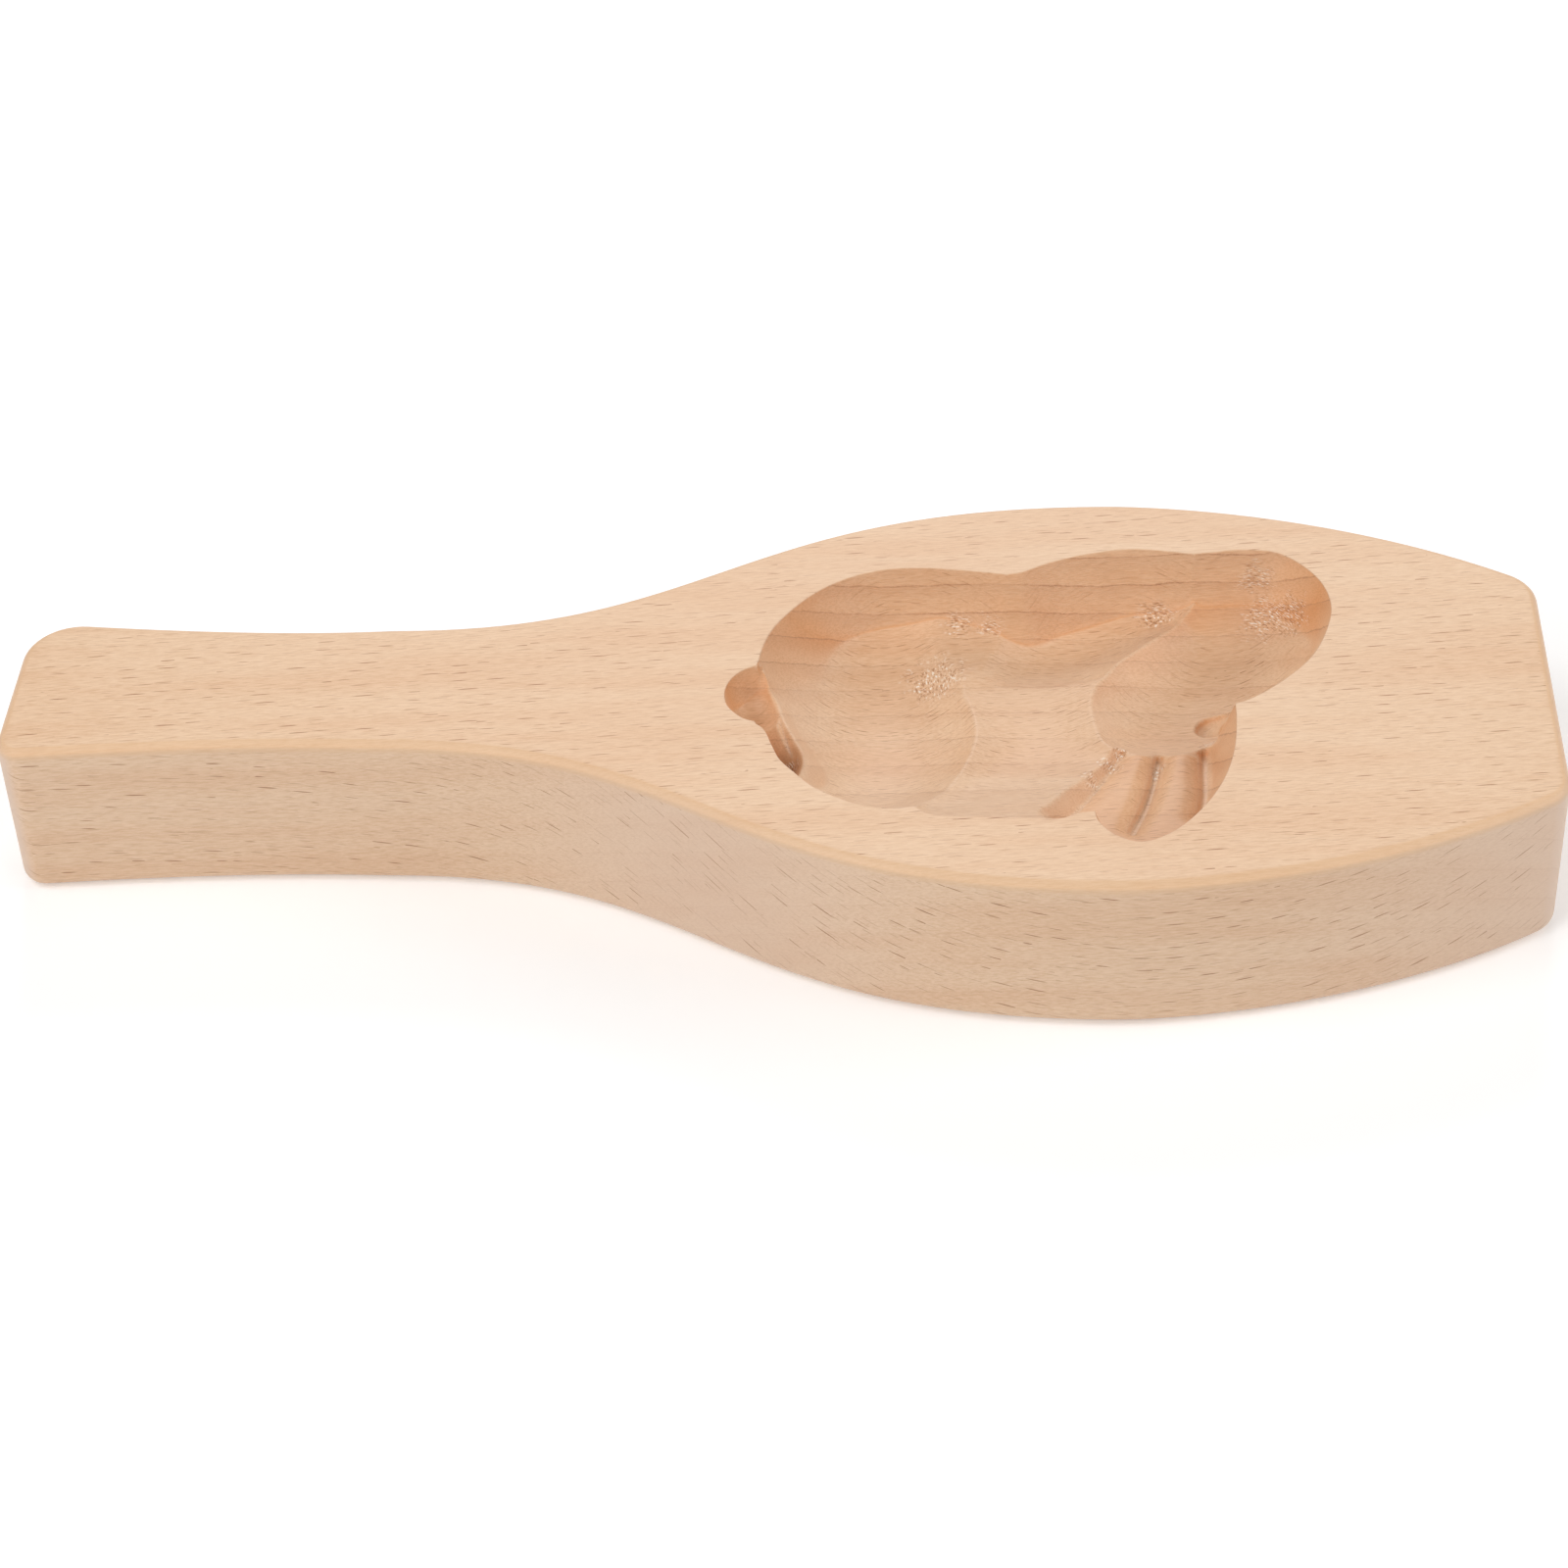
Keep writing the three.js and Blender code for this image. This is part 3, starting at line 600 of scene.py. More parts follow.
class MOULD_OT_board(bpy.types.Operator):
    """Make the plain board: outline, thickness and rounded edges"""

    bl_idname = "mould.board"
    bl_label = "Board"

    def execute(self, context):
        sizes = context.scene.cookie_mould.sizes
        outline = board_outline()
        bpy.ops.object.select_all(action="DESELECT")
        bpy.ops.mesh.primitive_circle_add(vertices=len(outline), radius=HEAD_WIDTH / 2 * MM, fill_type="NGON")
        board = context.object
        board.name = board.data.name = PIECE
        for vertex, point in zip(board.data.vertices, outline):
            vertex.co = (point.x * MM, point.y * MM, 0)
        bpy.ops.object.mode_set(mode="EDIT")
        bpy.ops.mesh.select_all(action="SELECT")
        bpy.ops.mesh.extrude_region_move(TRANSFORM_OT_translate={"value": (0, 0, sizes.thickness)})
        bpy.ops.mesh.select_all(action="SELECT")
        bpy.ops.mesh.normals_make_consistent(inside=False)
        for height, radius in ((0.0, sizes.foot_radius), (sizes.thickness, sizes.edge_radius)):
            select_edges(board, lambda edge: all(abs(v.co.z - height) < HAIR for v in edge.verts))
            bpy.ops.mesh.bevel(
                offset=radius, offset_type="OFFSET", segments=EDGE_STEPS, affect="EDGES", clamp_overlap=False)
        band = EDGE_BAND * MM
        for height in (sizes.foot_radius + band, sizes.thickness - sizes.edge_radius - band):
            bpy.ops.mesh.select_all(action="SELECT")
            bpy.ops.mesh.bisect(plane_co=(0, 0, height), plane_no=(0, 0, 1))
        mesh = bmesh.from_edit_mesh(board.data)
        bpy.ops.mesh.select_all(action="DESELECT")
        bpy.ops.mesh.select_mode(type="FACE")
        for face in mesh.faces:
            face.select_set(face.normal.z < -LEVEL)
        bmesh.update_edit_mesh(board.data)
        bpy.ops.mesh.inset(thickness=FACE_BORDER * MM)
        bpy.ops.object.mode_set(mode="OBJECT")
        return {"FINISHED"}


def cut_face_off(board, height):
    """Deletes the flat top face of the board and returns its outline in millimetres."""
    bpy.ops.object.mode_set(mode="EDIT")
    mesh = bmesh.from_edit_mesh(board.data)
    bpy.ops.mesh.select_all(action="DESELECT")
    bpy.ops.mesh.select_mode(type="FACE")
    tops = [f for f in mesh.faces if f.normal.z > LEVEL and f.calc_center_median().z > height - HAIR]
    if len(tops) != 1:
        raise RuntimeError(f"the board has {len(tops)} top faces, where one was expected")
    contour = np.array([(v.co.x / MM, v.co.y / MM) for v in tops[0].verts])
    tops[0].select_set(True)
    bmesh.update_edit_mesh(board.data)
    bpy.ops.mesh.delete(type="ONLY_FACE")
    bpy.ops.object.mode_set(mode="OBJECT")
    return contour


def add_shares(mesh, name, shares):
    """Gives each point of a mesh a value that the material reads by its name."""
    attribute = mesh.attributes.new(name, "FLOAT", "POINT")
    attribute.data.foreach_set("value", shares.astype(np.float32))


def painted_shade_shares(places, within):
    """Painted shade on the tail and the ears' backs, and the darker shade at the end of the tail's groove."""
    distance, side, _ = nearest(smooth_line(TAIL_CREST, LINE_STEPS), places)
    on_tail = within & (places[:, 0] < TAIL_SHADE_X)
    tail = np.where(on_tail, np.clip(distance * side + TAIL_SHADE_EDGE, 0, 1), 0)
    beds = [nearest(smooth_line(points, LINE_STEPS), places) for points, _, _ in FURROWS]
    from_bed = np.min([bed[0] for bed in beds], axis=0) - FURROW_FLOOR
    on_ears = within & (beds[0][1] < 0) & (places[:, 0] < EAR_SHADE_X) & (places[:, 1] < EAR_BACK_Y)
    ears = np.where(on_ears, np.clip(from_bed / EAR_SHADE_REACH, 0, 1), 0)
    from_stain = np.hypot(places[:, 0] - GROOVE_SHADE_X, places[:, 1] - GROOVE_SHADE_Y) / GROOVE_SHADE_REACH
    return tail + ears, tail * np.clip(1 - from_stain, 0, 1) ** GROOVE_SHADE_FADE


def carved_face(contour, height):
    """A mesh of the top face with the rabbit sunk into it, and the values that its material reads."""
    rim, stretches = rim_line()
    figure = np.vstack([rim_points(stretches, rim), floor_points(rim)])
    run = np.roll(contour, -1, axis=0) - np.roll(contour, 1, axis=0)
    inward = np.stack([-run[:, 1], run[:, 0]], 1) / np.hypot(run[:, 0], run[:, 1])[:, None]
    border = contour + inward * FACE_BORDER
    offset = np.array([HEAD_X, 0.0])
    places = np.vstack([contour, border, figure + offset])
    edge_loop = list(range(len(contour)))
    net = delaunay_2d_cdt([Vector(p) for p in places], [], [edge_loop], KEEP_INSIDE, NET_TOLERANCE)
    flat = np.array([tuple(point) for point in net[0]])
    beside = flat - offset
    within = inside(rim, beside)
    depth = np.zeros(len(flat))
    near = within | (nearest(np.vstack([rim, rim[:1]]), beside)[0] < NEAR_RIM)
    depth[near] = depth_at(beside[near], stretches, within[near])
    points = np.column_stack([flat * MM, height - depth * MM])
    mesh = bpy.data.meshes.new("carved_face")
    mesh.from_pydata(points.tolist(), [], net[2])
    # Painted shade, on the tail and the ears' backs and at the end of the tail's groove, as point values
    rubbed, groove_shaded = painted_shade_shares(beside, within)
    add_shares(mesh, "carved", np.clip(depth / CARVED_DEPTH, 0, 1))
    add_shares(mesh, "rubbed", rubbed)
    add_shares(mesh, "stain", groove_shaded)
    return mesh


class MOULD_OT_carving(bpy.types.Operator):
    """Carve the rabbit into the board's top face"""

    bl_idname = "mould.carving"
    bl_label = "Carving"

    def execute(self, context):
        sizes = context.scene.cookie_mould.sizes
        board = bpy.data.objects[PIECE]
        only(board)
        contour = cut_face_off(board, sizes.thickness)
        face = bpy.data.objects.new("carved_face", carved_face(contour, sizes.thickness))
        context.collection.objects.link(face)
        only(board)
        face.select_set(True)
        bpy.ops.object.join()
        bpy.ops.object.mode_set(mode="EDIT")
        bpy.ops.mesh.select_all(action="SELECT")
        bpy.ops.mesh.remove_doubles(threshold=WELD * MM)
        bpy.ops.mesh.normals_make_consistent(inside=False)
        bpy.ops.object.mode_set(mode="OBJECT")
        bpy.ops.object.shade_smooth()
        heights = np.array([v.co.z for v in board.data.vertices])
        top_edge = (heights > sizes.thickness - sizes.edge_radius) & (heights < sizes.thickness - HAIR)
        carved = np.zeros(len(heights), np.float32)
        board.data.attributes["carved"].data.foreach_get("value", carved)
        add_shares(board.data, "rounded_edge", top_edge & (carved == 0))
        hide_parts(NODE)
        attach(board, "root")
        return {"FINISHED"}


class Wiring:
    """Adds nodes to a material's tree and links them as they are named."""

    def __init__(self, tree):
        self.tree = tree

    def join(self, value, socket):
        """Links a socket to an input, or sets the input to a plain value."""
        if isinstance(value, bpy.types.NodeSocket):
            self.tree.links.new(value, socket)
        else:
            socket.default_value = value

    def add(self, kind, inputs=None, **settings):
        node = self.tree.nodes.new(kind)
        for name, value in settings.items():
            setattr(node, name, value)
        for name, value in (inputs or {}).items():
            self.join(value, node.inputs[name])
        return node

    def attribute(self, name):
        return self.add("ShaderNodeAttribute", attribute_name=name).outputs["Fac"]

    def math(self, operation, a, b=0.0, clamp=False):
        return self.add("ShaderNodeMath", {0: a, 1: b}, operation=operation, use_clamp=clamp).outputs[0]

    def plus(self, a, b, clamp=False):
        return self.math("ADD", a, b, clamp)

    def minus(self, a, b, clamp=False):
        return self.math("SUBTRACT", a, b, clamp)

    def times(self, a, b):
        return self.math("MULTIPLY", a, b)

    def over(self, a, b):
        return self.math("DIVIDE", a, b)

    def larger(self, a, b):
        return self.math("MAXIMUM", a, b)

    def vector(self, x, y, z):
        return self.add("ShaderNodeCombineXYZ", {0: x, 1: y, 2: z}).outputs[0]

    def parts(self, vector):
        return list(self.add("ShaderNodeSeparateXYZ", {0: vector}).outputs)

    def vector_math(self, operation, a, b, output):
        return self.add("ShaderNodeVectorMath", {0: a, 1: b}, operation=operation).outputs[output]

    def dot(self, a, b):
        return self.vector_math("DOT_PRODUCT", a, b, "Value")

    def noise(self, axes, per_mm, detail, roughness=0.5):
        """Noise that changes at its own pace along each of three axes."""
        place = self.vector(*(self.times(axis, pace) for axis, pace in zip(axes, per_mm)))
        node = self.add("ShaderNodeTexNoise", {
            "Vector": place, "Scale": 1.0, "Detail": detail, "Roughness": roughness})
        return node.outputs["Fac"]

    def between(self, value, low, high, to_low=0.0, to_high=1.0, kind="SMOOTHSTEP"):
        """What a value becomes as it runs from low to high."""
        node = self.add("ShaderNodeMapRange", {
            "Value": value, "From Min": low, "From Max": high, "To Min": to_low, "To Max": to_high},
            interpolation_type=kind)
        return node.outputs[0]

    def mix(self, share, a, b, blend="MIX"):
        node = self.add("ShaderNodeMix", data_type="RGBA", blend_type=blend, clamp_result=True)
        self.join(share, node.inputs[0])
        for value, socket in ((a, node.inputs[6]), (b, node.inputs[7])):
            self.join(value if isinstance(value, bpy.types.NodeSocket) else (*value, 1), socket)
        return node.outputs[2]

    def tint(self, share, colour, tint):
        """A colour multiplied by a tint, as far as the share says."""
        return self.mix(share, colour, tint, blend="MULTIPLY")


# The grain: fibres run along X with a slight drift, and the rings lean as a plain-sawn board's do. The top
# face meets them at TOP_FLAT_CUT, where 1 would be flat along the rings.
RING_DRIFT = 0.02
FIBRE_DRIFT = 0.10
RING_LEAN = 1.08
LEAN_LENGTH = math.hypot(1, RING_LEAN)
ACROSS_RINGS = (0, 1 / LEAN_LENGTH, RING_LEAN / LEAN_LENGTH)
ALONG_RINGS = (0, -RING_LEAN / LEAN_LENGTH, 1 / LEAN_LENGTH)
TOP_FLAT_CUT = 0.73

# Pace of each noise per millimetre along the fibres, across the rings and along them
BAND_NOISE = (0.012, 0.16, 0.05)
FIBRE_NOISE = (0.40, 4.4, 2.6)
RING_STRENGTH_NOISE = (0.045, 0.25, 0.0)
RING_DOT_NOISE = (2.2, 2.2, 2.2)

# Where the first ring lies, then the waves of the ring lines: noise, its detail, how far it pushes them
RING_START = 35.6
RING_WAVES = [((0.02, 0.02, 0.02), 2.0, 2.4), ((0.3, 0.6, 0.6), 3.0, 0.8)]

# Ray flecks: distance between them and half their size, along the fibres and beside, then how far they
# reach across the rings, how dark they are, and a shift that keeps the kinds apart
PLANED_FLECKS = [
    {"spacing": (5.6, 1.6), "half": (2.0, 0.085), "depth": 1.0, "reach": 4.2, "shift": 0.0},
    {"spacing": (4.2, 0.9), "half": (1.6, 0.06), "depth": 0.5, "reach": 3.0, "shift": 37.0},
]
CARVED_FLECKS = [
    {"spacing": (3.0, 0.9), "half": (1.3, 0.075), "depth": 0.85, "reach": 7.0, "shift": 71.0},
]

# How strongly each mark shows where it is strongest
END_GRAIN_SHARE = 0.8
TAIL_AND_EAR_SHADE_SHARE = 0.5
BURNISHED_SHARE = 0.5
RING_ON_WALL = 0.62
RING_ON_FLOOR = 0.25
PLANED_RING_SHARE = 0.15
CARVED_FLECK_SHARE = 0.35
GLINT_SHARE = 0.8
SPECK_SHADE_SHARE = 0.7

# Where the tool ran against the fibres and left them torn, each x, y, depth and radius, then the noise
# that makes their borders ragged and the noise of the small scales, per millimetre along X, Y and Z. Glints
# and shade specks are painted on these scales.
TORN_AND_GLINT_PLACES = [
    (27.6, 31.0, 10.5, 5.5), (31.5, 29.0, 8.5, 5.0), (26.0, 35.0, 5.0, 4.0), (-29.0, 15.5, 11.8, 6.5),
    (-25.5, 28.5, 10.0, 3.2), (-19.5, 28.5, 10.0, 3.2), (8.9, 33.0, 11.8, 4.0), (-3.4, -15.5, 7.8, 2.6),
    (-0.5, -11.0, 8.8, 2.6), (1.8, -7.0, 9.8, 2.4), (7.7, -10.5, 10.3, 2.2), (16.0, -2.5, 11.5, 2.6),
    (-52.3, -16.5, 6.0, 3.6),
]
RAGGED_NOISE = (0.5, 0.5, 0.5)
RAGGED_REACH = 1.6
SCALE_NOISE = (1.3, 1.3, 8.0)

# Relief in millimetres: fibres, marks of the tool with their pitch, and torn scales
FIBRE_RELIEF = 0.02
TOOL_RELIEF = 0.005
TOOL_PITCH = 0.38
TORN_RELIEF = 0.12


def grain_axes(wires, place, drift):
    """Place in millimetres along the fibres, across the rings, and along them."""
    ways = [(1, drift, 0)]
    ways += [(-drift * y, y, z) for _, y, z in (ACROSS_RINGS, ALONG_RINGS)]
    return [wires.dot(place, tuple(part / MM for part in way)) for way in ways]


class Grain:
    """How a place lies in the wood, how it faces, how it was worked and where shade is painted on it."""

    def __init__(self, wires):
        self.place = wires.add("ShaderNodeTexCoord").outputs["Object"]
        self.ring_axes = grain_axes(wires, self.place, RING_DRIFT)
        self.fibre_axes = grain_axes(wires, self.place, FIBRE_DRIFT)
        self.carved = wires.attribute("carved")
        # Where shade is painted: on the tail and the ears' backs, then at the end of the tail's groove
        self.rubbed = wires.attribute("rubbed")
        self.stain = wires.attribute("stain")
        self.rounded = wires.attribute("rounded_edge")
        normal = wires.add("ShaderNodeNewGeometry").outputs["Normal"]
        self.to_tip, _, upward = wires.parts(normal)
        self.upward = wires.larger(upward, 0.0)
        self.across_fibres = wires.math("ABSOLUTE", self.to_tip)
        self.flat_cut = wires.math("ABSOLUTE", wires.dot(normal, ACROSS_RINGS))
        self.side_cut = wires.math("ABSOLUTE", wires.dot(normal, ALONG_RINGS))


def ring_lines(wires, axes, width):
    """Darkness of the late wood: 1 on a ring line, falling away slowly on its inner side."""
    wavy = axes[1]
    for per_mm, detail, reach in RING_WAVES:
        push = wires.minus(wires.noise(axes, per_mm, detail), 0.5)
        wavy = wires.plus(wavy, wires.times(push, reach))
    phase = wires.math("FRACT", wires.over(wires.minus(wavy, RING_START), width / MM))
    line = wires.between(phase, 0.94, 0.985)
    back = wires.between(phase, 0.0, 0.02, 1.0, 0.0)
    fade = wires.between(phase, 0.3, 1.0, 0.0, 0.22)
    strength = wires.between(wires.noise(axes, RING_STRENGTH_NOISE, 2.0), 0.35, 0.6, 0.25, 1.0)
    dots = wires.between(wires.noise(axes, RING_DOT_NOISE, 1.0), 0.3, 0.6, 0.4, 1.0)
    line = wires.times(wires.larger(line, back), wires.times(strength, dots))
    return wires.plus(line, fade, clamp=True)


def ray_flecks(wires, axes, kind):
    """Darkness of one kind of fleck: short thin streaks along the fibres, deep across the rings."""
    along, across, beside = axes
    step_along, step_beside = kind["spacing"]
    half_along, half_beside = kind["half"]
    cell = wires.vector(
        wires.plus(wires.over(along, step_along), kind["shift"]),
        wires.over(beside, step_beside),
        wires.over(across, kind["reach"]))
    voronoi = wires.add("ShaderNodeTexVoronoi", {"Vector": cell, "Scale": 1.0, "Randomness": 1.0},
                        voronoi_dimensions="3D", feature="F1")
    off = wires.parts(wires.vector_math("SUBTRACT", cell, voronoi.outputs["Position"], "Vector"))
    chance = wires.add("ShaderNodeSeparateColor", {0: voronoi.outputs["Color"]}).outputs
    size = wires.between(chance[0], 0.0, 1.0, 0.6, 1.15, kind="LINEAR")
    x = wires.over(wires.times(off[0], step_along / half_along), size)
    y = wires.over(wires.times(off[1], step_beside / half_beside), size)
    reach = wires.plus(wires.times(x, x), wires.times(y, y))
    strength = wires.between(chance[1], 0.25, 0.9, 0.0, kind["depth"], kind="LINEAR")
    return wires.times(wires.between(reach, 0.2, 1.0, 1.0, 0.0), strength)


def planed_wood(wires, look, grain):
    """Colour of the bare planed wood, and the fibres in it."""
    bands = wires.noise(grain.ring_axes, BAND_NOISE, 3.0, 0.55)
    colour = wires.mix(wires.between(bands, 0.35, 0.68), look.pale, look.warm)
    fibre = wires.noise(grain.fibre_axes, FIBRE_NOISE, 3.0, 0.7)
    dark_fibre = wires.between(fibre, 0.32, 0.62, 1.0, 0.0, kind="LINEAR")
    return wires.tint(dark_fibre, colour, look.fibre), fibre


def worked_wood(wires, look, grain, colour):
    """Colour after sawing, rounding over and carving, with painted shade and painted light in the carving."""
    uncarved = wires.minus(1.0, grain.carved)
    end = wires.times(wires.between(grain.across_fibres, 0.12, 0.75), uncarved)
    colour = wires.mix(wires.times(end, END_GRAIN_SHARE), colour, look.end_grain)
    # Partly the wood's own tint where the cut runs square to the rings, partly painted shade darkening the
    # walls
    quarter_and_shade = wires.between(grain.flat_cut, 0.0, TOP_FLAT_CUT, 1.0, 0.0, kind="LINEAR")
    # The tail and the ears' backs get painted shade with the same darker, warmer tint
    quarter_and_shade = wires.larger(wires.math("POWER", quarter_and_shade, 1.5), wires.times(grain.rubbed, TAIL_AND_EAR_SHADE_SHARE))
    colour = wires.tint(wires.times(quarter_and_shade, grain.carved), colour, look.quarter_and_shade)
    colour = wires.mix(wires.times(grain.rounded, BURNISHED_SHARE), colour, look.burnished)
    # Painted shade: the level floor of the carving is painted darker and warmer
    floor = wires.times(wires.between(grain.upward, 0.90, 1.0), grain.carved)
    colour = wires.tint(floor, colour, look.floor_shade)
    # Painted shade: the narrow deep end of the groove beside the tail is painted dark
    colour = wires.tint(grain.stain, colour, look.stain)
    # Painted light: carved faces turned to the tip or up to the back, painted paler as the lights fall there
    lit_side = wires.larger(wires.between(grain.to_tip, 0.1, 0.7), wires.between(grain.flat_cut, 0.76, 0.98))
    lit_side = wires.times(lit_side, wires.minus(grain.carved, grain.rubbed, clamp=True))
    colour = wires.tint(lit_side, colour, look.lit_side_tint)
    flank = wires.times(wires.between(grain.upward, 0.1, 0.6, 1.0, 0.0), uncarved)
    return wires.tint(flank, colour, look.side)


def figured_wood(wires, look, grain, colour):
    """The colour with its ring lines and ray flecks."""
    rings = ring_lines(wires, grain.ring_axes, look.ring_width)
    share = wires.between(grain.upward, 0.3, 0.97, RING_ON_WALL, RING_ON_FLOOR, kind="LINEAR")
    share = wires.times(share, wires.between(grain.carved, 0.0, 1.0, PLANED_RING_SHARE, 1.0, kind="LINEAR"))
    colour = wires.mix(wires.times(rings, share), colour, look.ring)
    edge_on = wires.between(grain.side_cut, 0.78, 0.98, 1.0, 0.2)
    edge_on = wires.times(edge_on, wires.between(grain.across_fibres, 0.3, 0.8, 1.0, 0.25))
    edge_on = wires.times(edge_on, wires.minus(1.0, grain.rounded))
    planed = wires.between(grain.carved, 0.0, 1.0, 1.0, CARVED_FLECK_SHARE, kind="LINEAR")
    carved = wires.times(grain.carved, wires.between(grain.flat_cut, 0.3, 0.7, 0.1, 1.0))
    for kinds, share in ((PLANED_FLECKS, planed), (CARVED_FLECKS, carved)):
        share = wires.times(edge_on, share)
        for kind in kinds:
            flecks = wires.times(ray_flecks(wires, grain.fibre_axes, kind), share)
            colour = wires.tint(flecks, colour, look.fleck)
    return colour


def torn_wood_with_glints(wires, look, grain, colour):
    """Colour with painted glints and painted shade specks where the tool tore fibres, that share and the
    scales.
    """
    parts = [wires.over(part, MM) for part in wires.parts(grain.place)]
    spot_place = wires.vector(*parts)
    ragged = wires.times(wires.minus(wires.noise(parts, RAGGED_NOISE, 3.0), 0.5), RAGGED_REACH)
    torn_and_glint = 0.0
    for x, y, depth, radius in TORN_AND_GLINT_PLACES:
        centre = (HEAD_X + x, y, NODE_HIGH.z / MM - depth)
        away = wires.over(wires.vector_math("DISTANCE", spot_place, centre, "Value"), radius)
        torn_and_glint = wires.larger(torn_and_glint, wires.between(wires.plus(away, ragged), 0.3, 1.0, 1.0, 0.0))
    torn_and_glint = wires.times(torn_and_glint, grain.carved)
    scales = wires.noise(parts, SCALE_NOISE, 1.0)
    # Painted highlight: glints on the small scales; then painted shade specks between them
    glint = wires.times(wires.between(scales, 0.58, 0.66), torn_and_glint)
    colour = wires.mix(wires.times(glint, GLINT_SHARE), colour, look.torn_and_glint)
    speck_shade = wires.times(wires.between(scales, 0.36, 0.44, 1.0, 0.0), torn_and_glint)
    return wires.tint(wires.times(speck_shade, SPECK_SHADE_SHARE), colour, look.fleck), torn_and_glint, scales


def wood_relief(wires, grain, fibre, torn_and_glint, scales):
    """The surface's fine relief: fibres, marks of the tool in the carving, and torn scales."""
    height = wires.times(fibre, FIBRE_RELIEF)
    tool = wires.math("SINE", wires.times(wires.parts(grain.place)[2], 2 * math.pi / (TOOL_PITCH * MM)))
    height = wires.plus(height, wires.times(tool, wires.times(grain.carved, TOOL_RELIEF)))
    height = wires.plus(height, wires.times(scales, wires.times(torn_and_glint, TORN_RELIEF)))
    return wires.add("ShaderNodeBump", {"Height": height, "Strength": 1.0, "Distance": MM}).outputs[0]


def beech_material(look):
    """Steamed beech, sanded and left dry."""
    material = bpy.data.materials.new("beech")
    material.use_nodes = True
    tree = material.node_tree
    tree.nodes.clear()
    wires = Wiring(tree)
    grain = Grain(wires)
    colour, fibre = planed_wood(wires, look, grain)
    colour = worked_wood(wires, look, grain, colour)
    colour = figured_wood(wires, look, grain, colour)
    colour, torn_and_glint, scales = torn_wood_with_glints(wires, look, grain, colour)
    rough = wires.between(fibre, 0.3, 0.7, look.roughness - 0.06, look.roughness + 0.08, kind="LINEAR")
    shader = wires.add("ShaderNodeBsdfPrincipled", {
        "Base Color": colour, "Roughness": rough, "Normal": wood_relief(wires, grain, fibre, torn_and_glint, scales),
        "Specular IOR Level": 0.4, "IOR": 1.5})
    output = wires.add("ShaderNodeOutputMaterial")
    tree.links.new(shader.outputs[0], output.inputs["Surface"])
    return material


class MOULD_OT_finish(bpy.types.Operator):
    """Give the mould its beech"""

    bl_idname = "mould.finish"
    bl_label = "Beech finish"

    def execute(self, context):
        board = bpy.data.objects[PIECE]
        board.data.materials.clear()
        board.data.materials.append(beech_material(context.scene.cookie_mould.beech))
        return {"FINISHED"}


# The camera: a long lens from the front, a little right of the middle and 40 degrees up
CAMERA_PLACE = (35.80 * MM, -479.34 * MM, 415.88 * MM)
CAMERA_TARGET = (0.85 * MM, 0.0, 8.29 * MM)
CAMERA_ROLL = math.radians(-2.77)
CAMERA_LENS = 85.63
SENSOR_WIDTH = 36.0

# The soft lights stand in a ring round the mould, each at its way round and its height in degrees, the
# first counted from +X towards +Y
LIGHT_DISTANCE = 1.6
LIGHT_SIZE = 0.8
LIGHTS = {
    "front_left": (225, 32),
    "top_left": (205, 62),
    "right": (0, 32),
    "back": (90, 32),
    "front_right": (315, 32),
}

# The table lies a little below the mould, so that the two faces don't share a plane
TABLE_SIZE = 8.0
TABLE_GAP = 0.2 * MM


def add_area(name, azimuth, elevation, power):
    """A square soft light aimed at the mould."""
    turn, rise = math.radians(azimuth), math.radians(elevation)
    way = Vector((math.cos(rise) * math.cos(turn), math.cos(rise) * math.sin(turn), math.sin(rise)))
    light = bpy.data.lights.new(name, "AREA")
    light.shape = "SQUARE"
    light.size = LIGHT_SIZE
    light.energy = power
    lamp = bpy.data.objects.new(name, light)
    lamp.location = way * LIGHT_DISTANCE
    lamp.rotation_euler = way.to_track_quat("Z", "Y").to_euler()
    bpy.context.collection.objects.link(lamp)


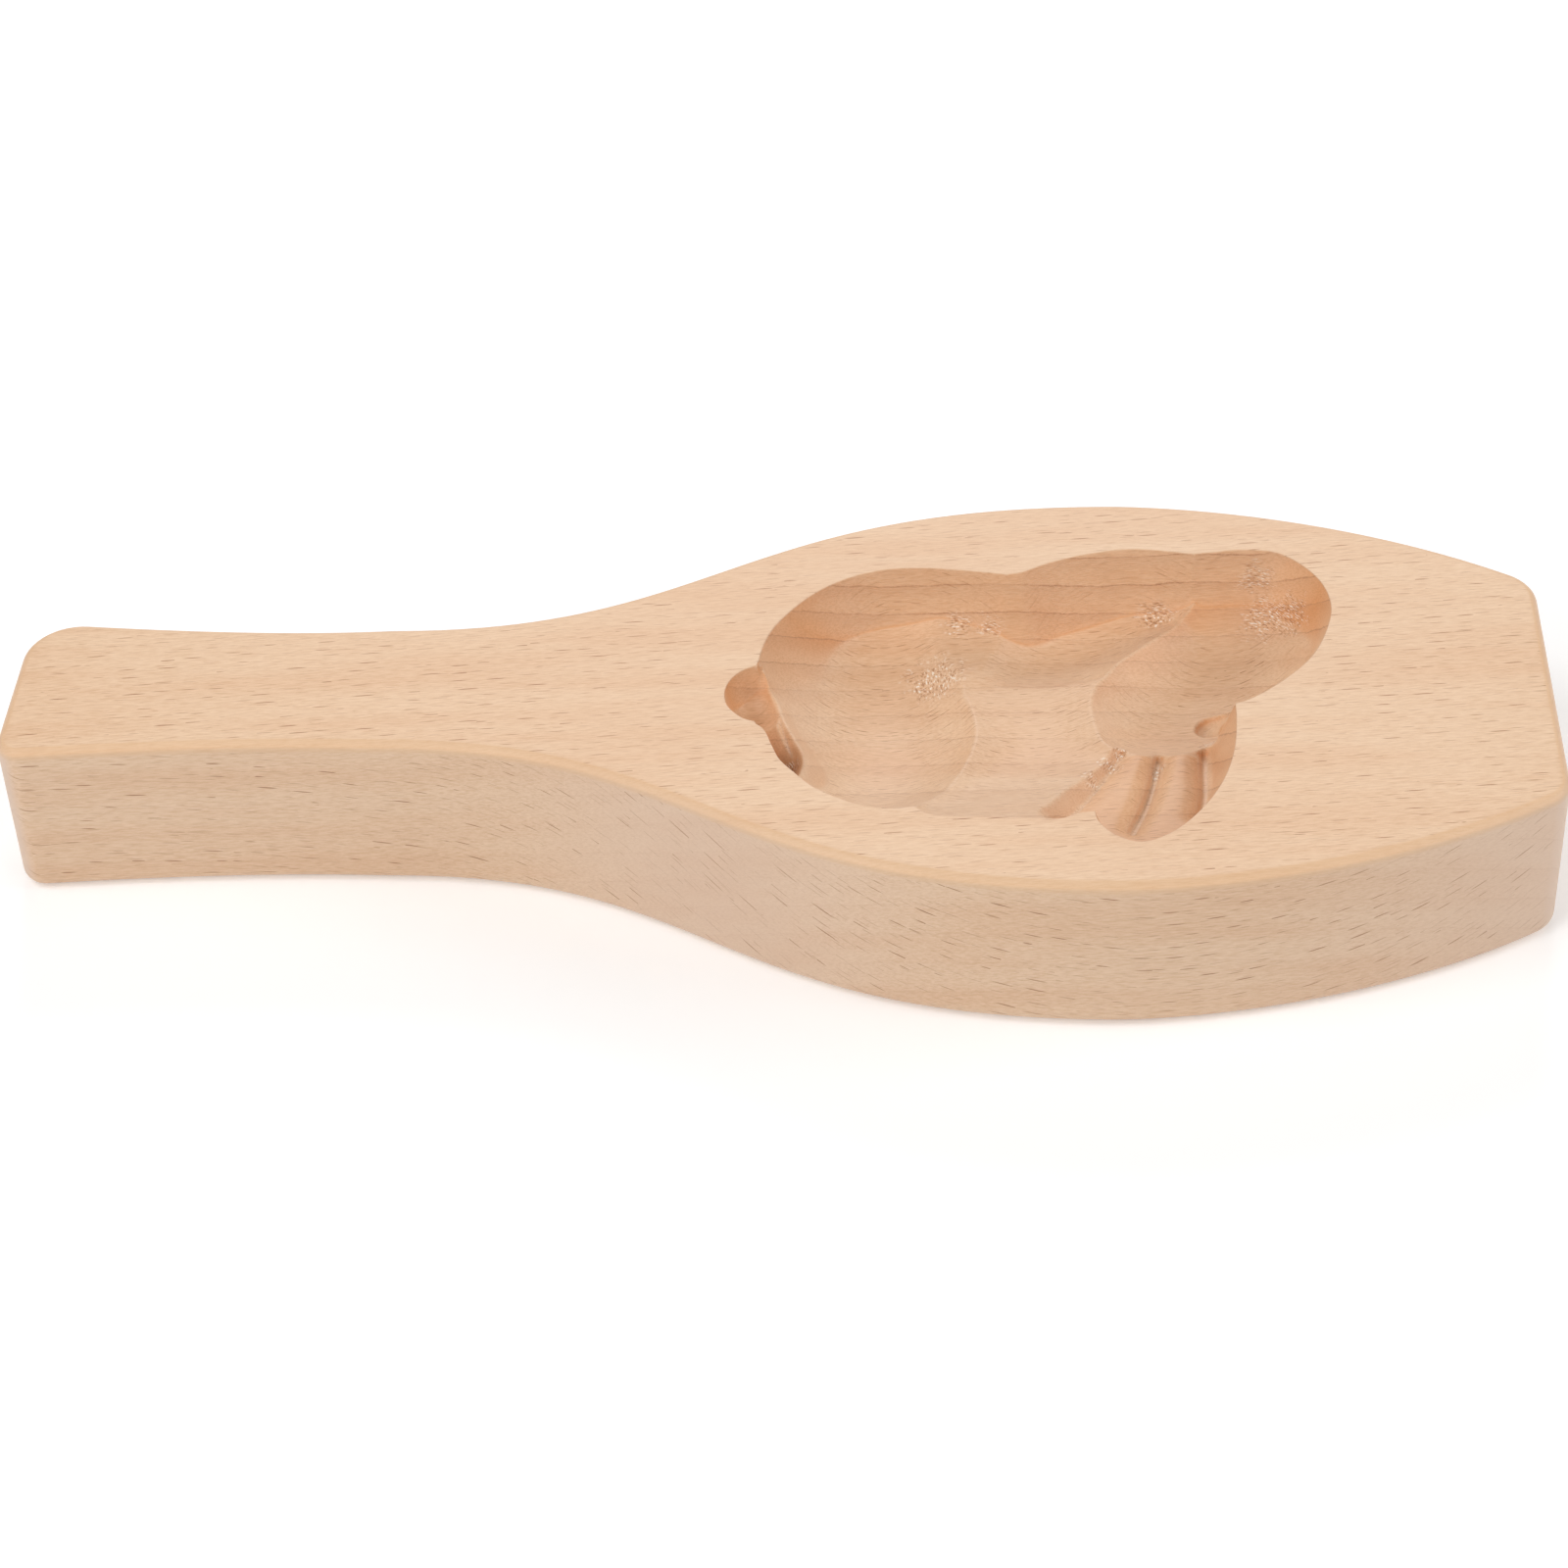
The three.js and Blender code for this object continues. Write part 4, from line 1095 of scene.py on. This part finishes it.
class MOULD_OT_studio(bpy.types.Operator):
    """Make the pale table, the soft lights and the camera"""

    bl_idname = "mould.studio"
    bl_label = "Studio"

    def execute(self, context):
        look = context.scene.cookie_mould.studio
        bpy.ops.object.select_all(action="DESELECT")
        bpy.ops.mesh.primitive_plane_add(size=TABLE_SIZE, location=(0, 0, -TABLE_GAP))
        floor = context.object
        floor.name = "table"
        paint = bpy.data.materials.new("table_white")
        paint.use_nodes = True
        shader = paint.node_tree.nodes["Principled BSDF"]
        shader.inputs["Base Color"].default_value = (*look.floor, 1)
        shader.inputs["Roughness"].default_value = 0.9
        shader.inputs["Specular IOR Level"].default_value = 0.0
        shader.inputs["Emission Color"].default_value = (1, 1, 1, 1)
        shader.inputs["Emission Strength"].default_value = look.floor_glow
        floor.data.materials.append(paint)

        for name, (azimuth, elevation) in LIGHTS.items():
            add_area(f"{name}_light", azimuth, elevation, getattr(look, name))
        world = bpy.data.worlds.new("room")
        world.use_nodes = True
        background = world.node_tree.nodes["Background"]
        background.inputs["Color"].default_value = (1, 1, 1, 1)
        background.inputs["Strength"].default_value = look.room
        context.scene.world = world

        camera = bpy.data.objects.new("camera", bpy.data.cameras.new("camera"))
        context.collection.objects.link(camera)
        camera.location = CAMERA_PLACE
        aim = (Vector(CAMERA_TARGET) - Vector(CAMERA_PLACE)).to_track_quat("-Z", "Y")
        camera.rotation_mode = "QUATERNION"
        camera.rotation_quaternion = aim @ Matrix.Rotation(CAMERA_ROLL, 3, "Z").to_quaternion()
        camera.data.lens = CAMERA_LENS
        camera.data.sensor_width = SENSOR_WIDTH
        camera.data.clip_start = 0.01
        camera.data.clip_end = 20.0
        context.scene.camera = camera
        context.scene.view_settings.view_transform = "Standard"
        return {"FINISHED"}


class VIEW3D_PT_cookie_mould(bpy.types.Panel):
    """Buttons and sizes of the cookie mould"""

    bl_label = "Cookie mould"
    bl_space_type = "VIEW_3D"
    bl_region_type = "UI"
    bl_category = "Cookie mould"

    def draw(self, context):
        settings = context.scene.cookie_mould
        for group in (settings.sizes, settings.beech, settings.studio):
            box = self.layout.box()
            for name in group.bl_rna.properties.keys():
                if name not in ("rna_type", "name"):
                    box.prop(group, name)
        for operator in (MOULD_OT_board, MOULD_OT_carving, MOULD_OT_finish, MOULD_OT_studio):
            self.layout.operator(operator.bl_idname)


CLASSES = (
    MouldSizes, BeechLook, StudioLook, CookieMould, MOULD_OT_board, MOULD_OT_carving,
    MOULD_OT_finish, MOULD_OT_studio, VIEW3D_PT_cookie_mould,
)


def register():
    for cls in CLASSES:
        bpy.utils.register_class(cls)
    bpy.types.Scene.cookie_mould = bpy.props.PointerProperty(type=CookieMould)


def unregister():
    del bpy.types.Scene.cookie_mould
    for cls in reversed(CLASSES):
        bpy.utils.unregister_class(cls)


def main():
    register()
    bpy.ops.mould.board()
    bpy.ops.mould.carving()
    bpy.ops.mould.finish()
    bpy.ops.mould.studio()


if __name__ == "__main__":
    main()
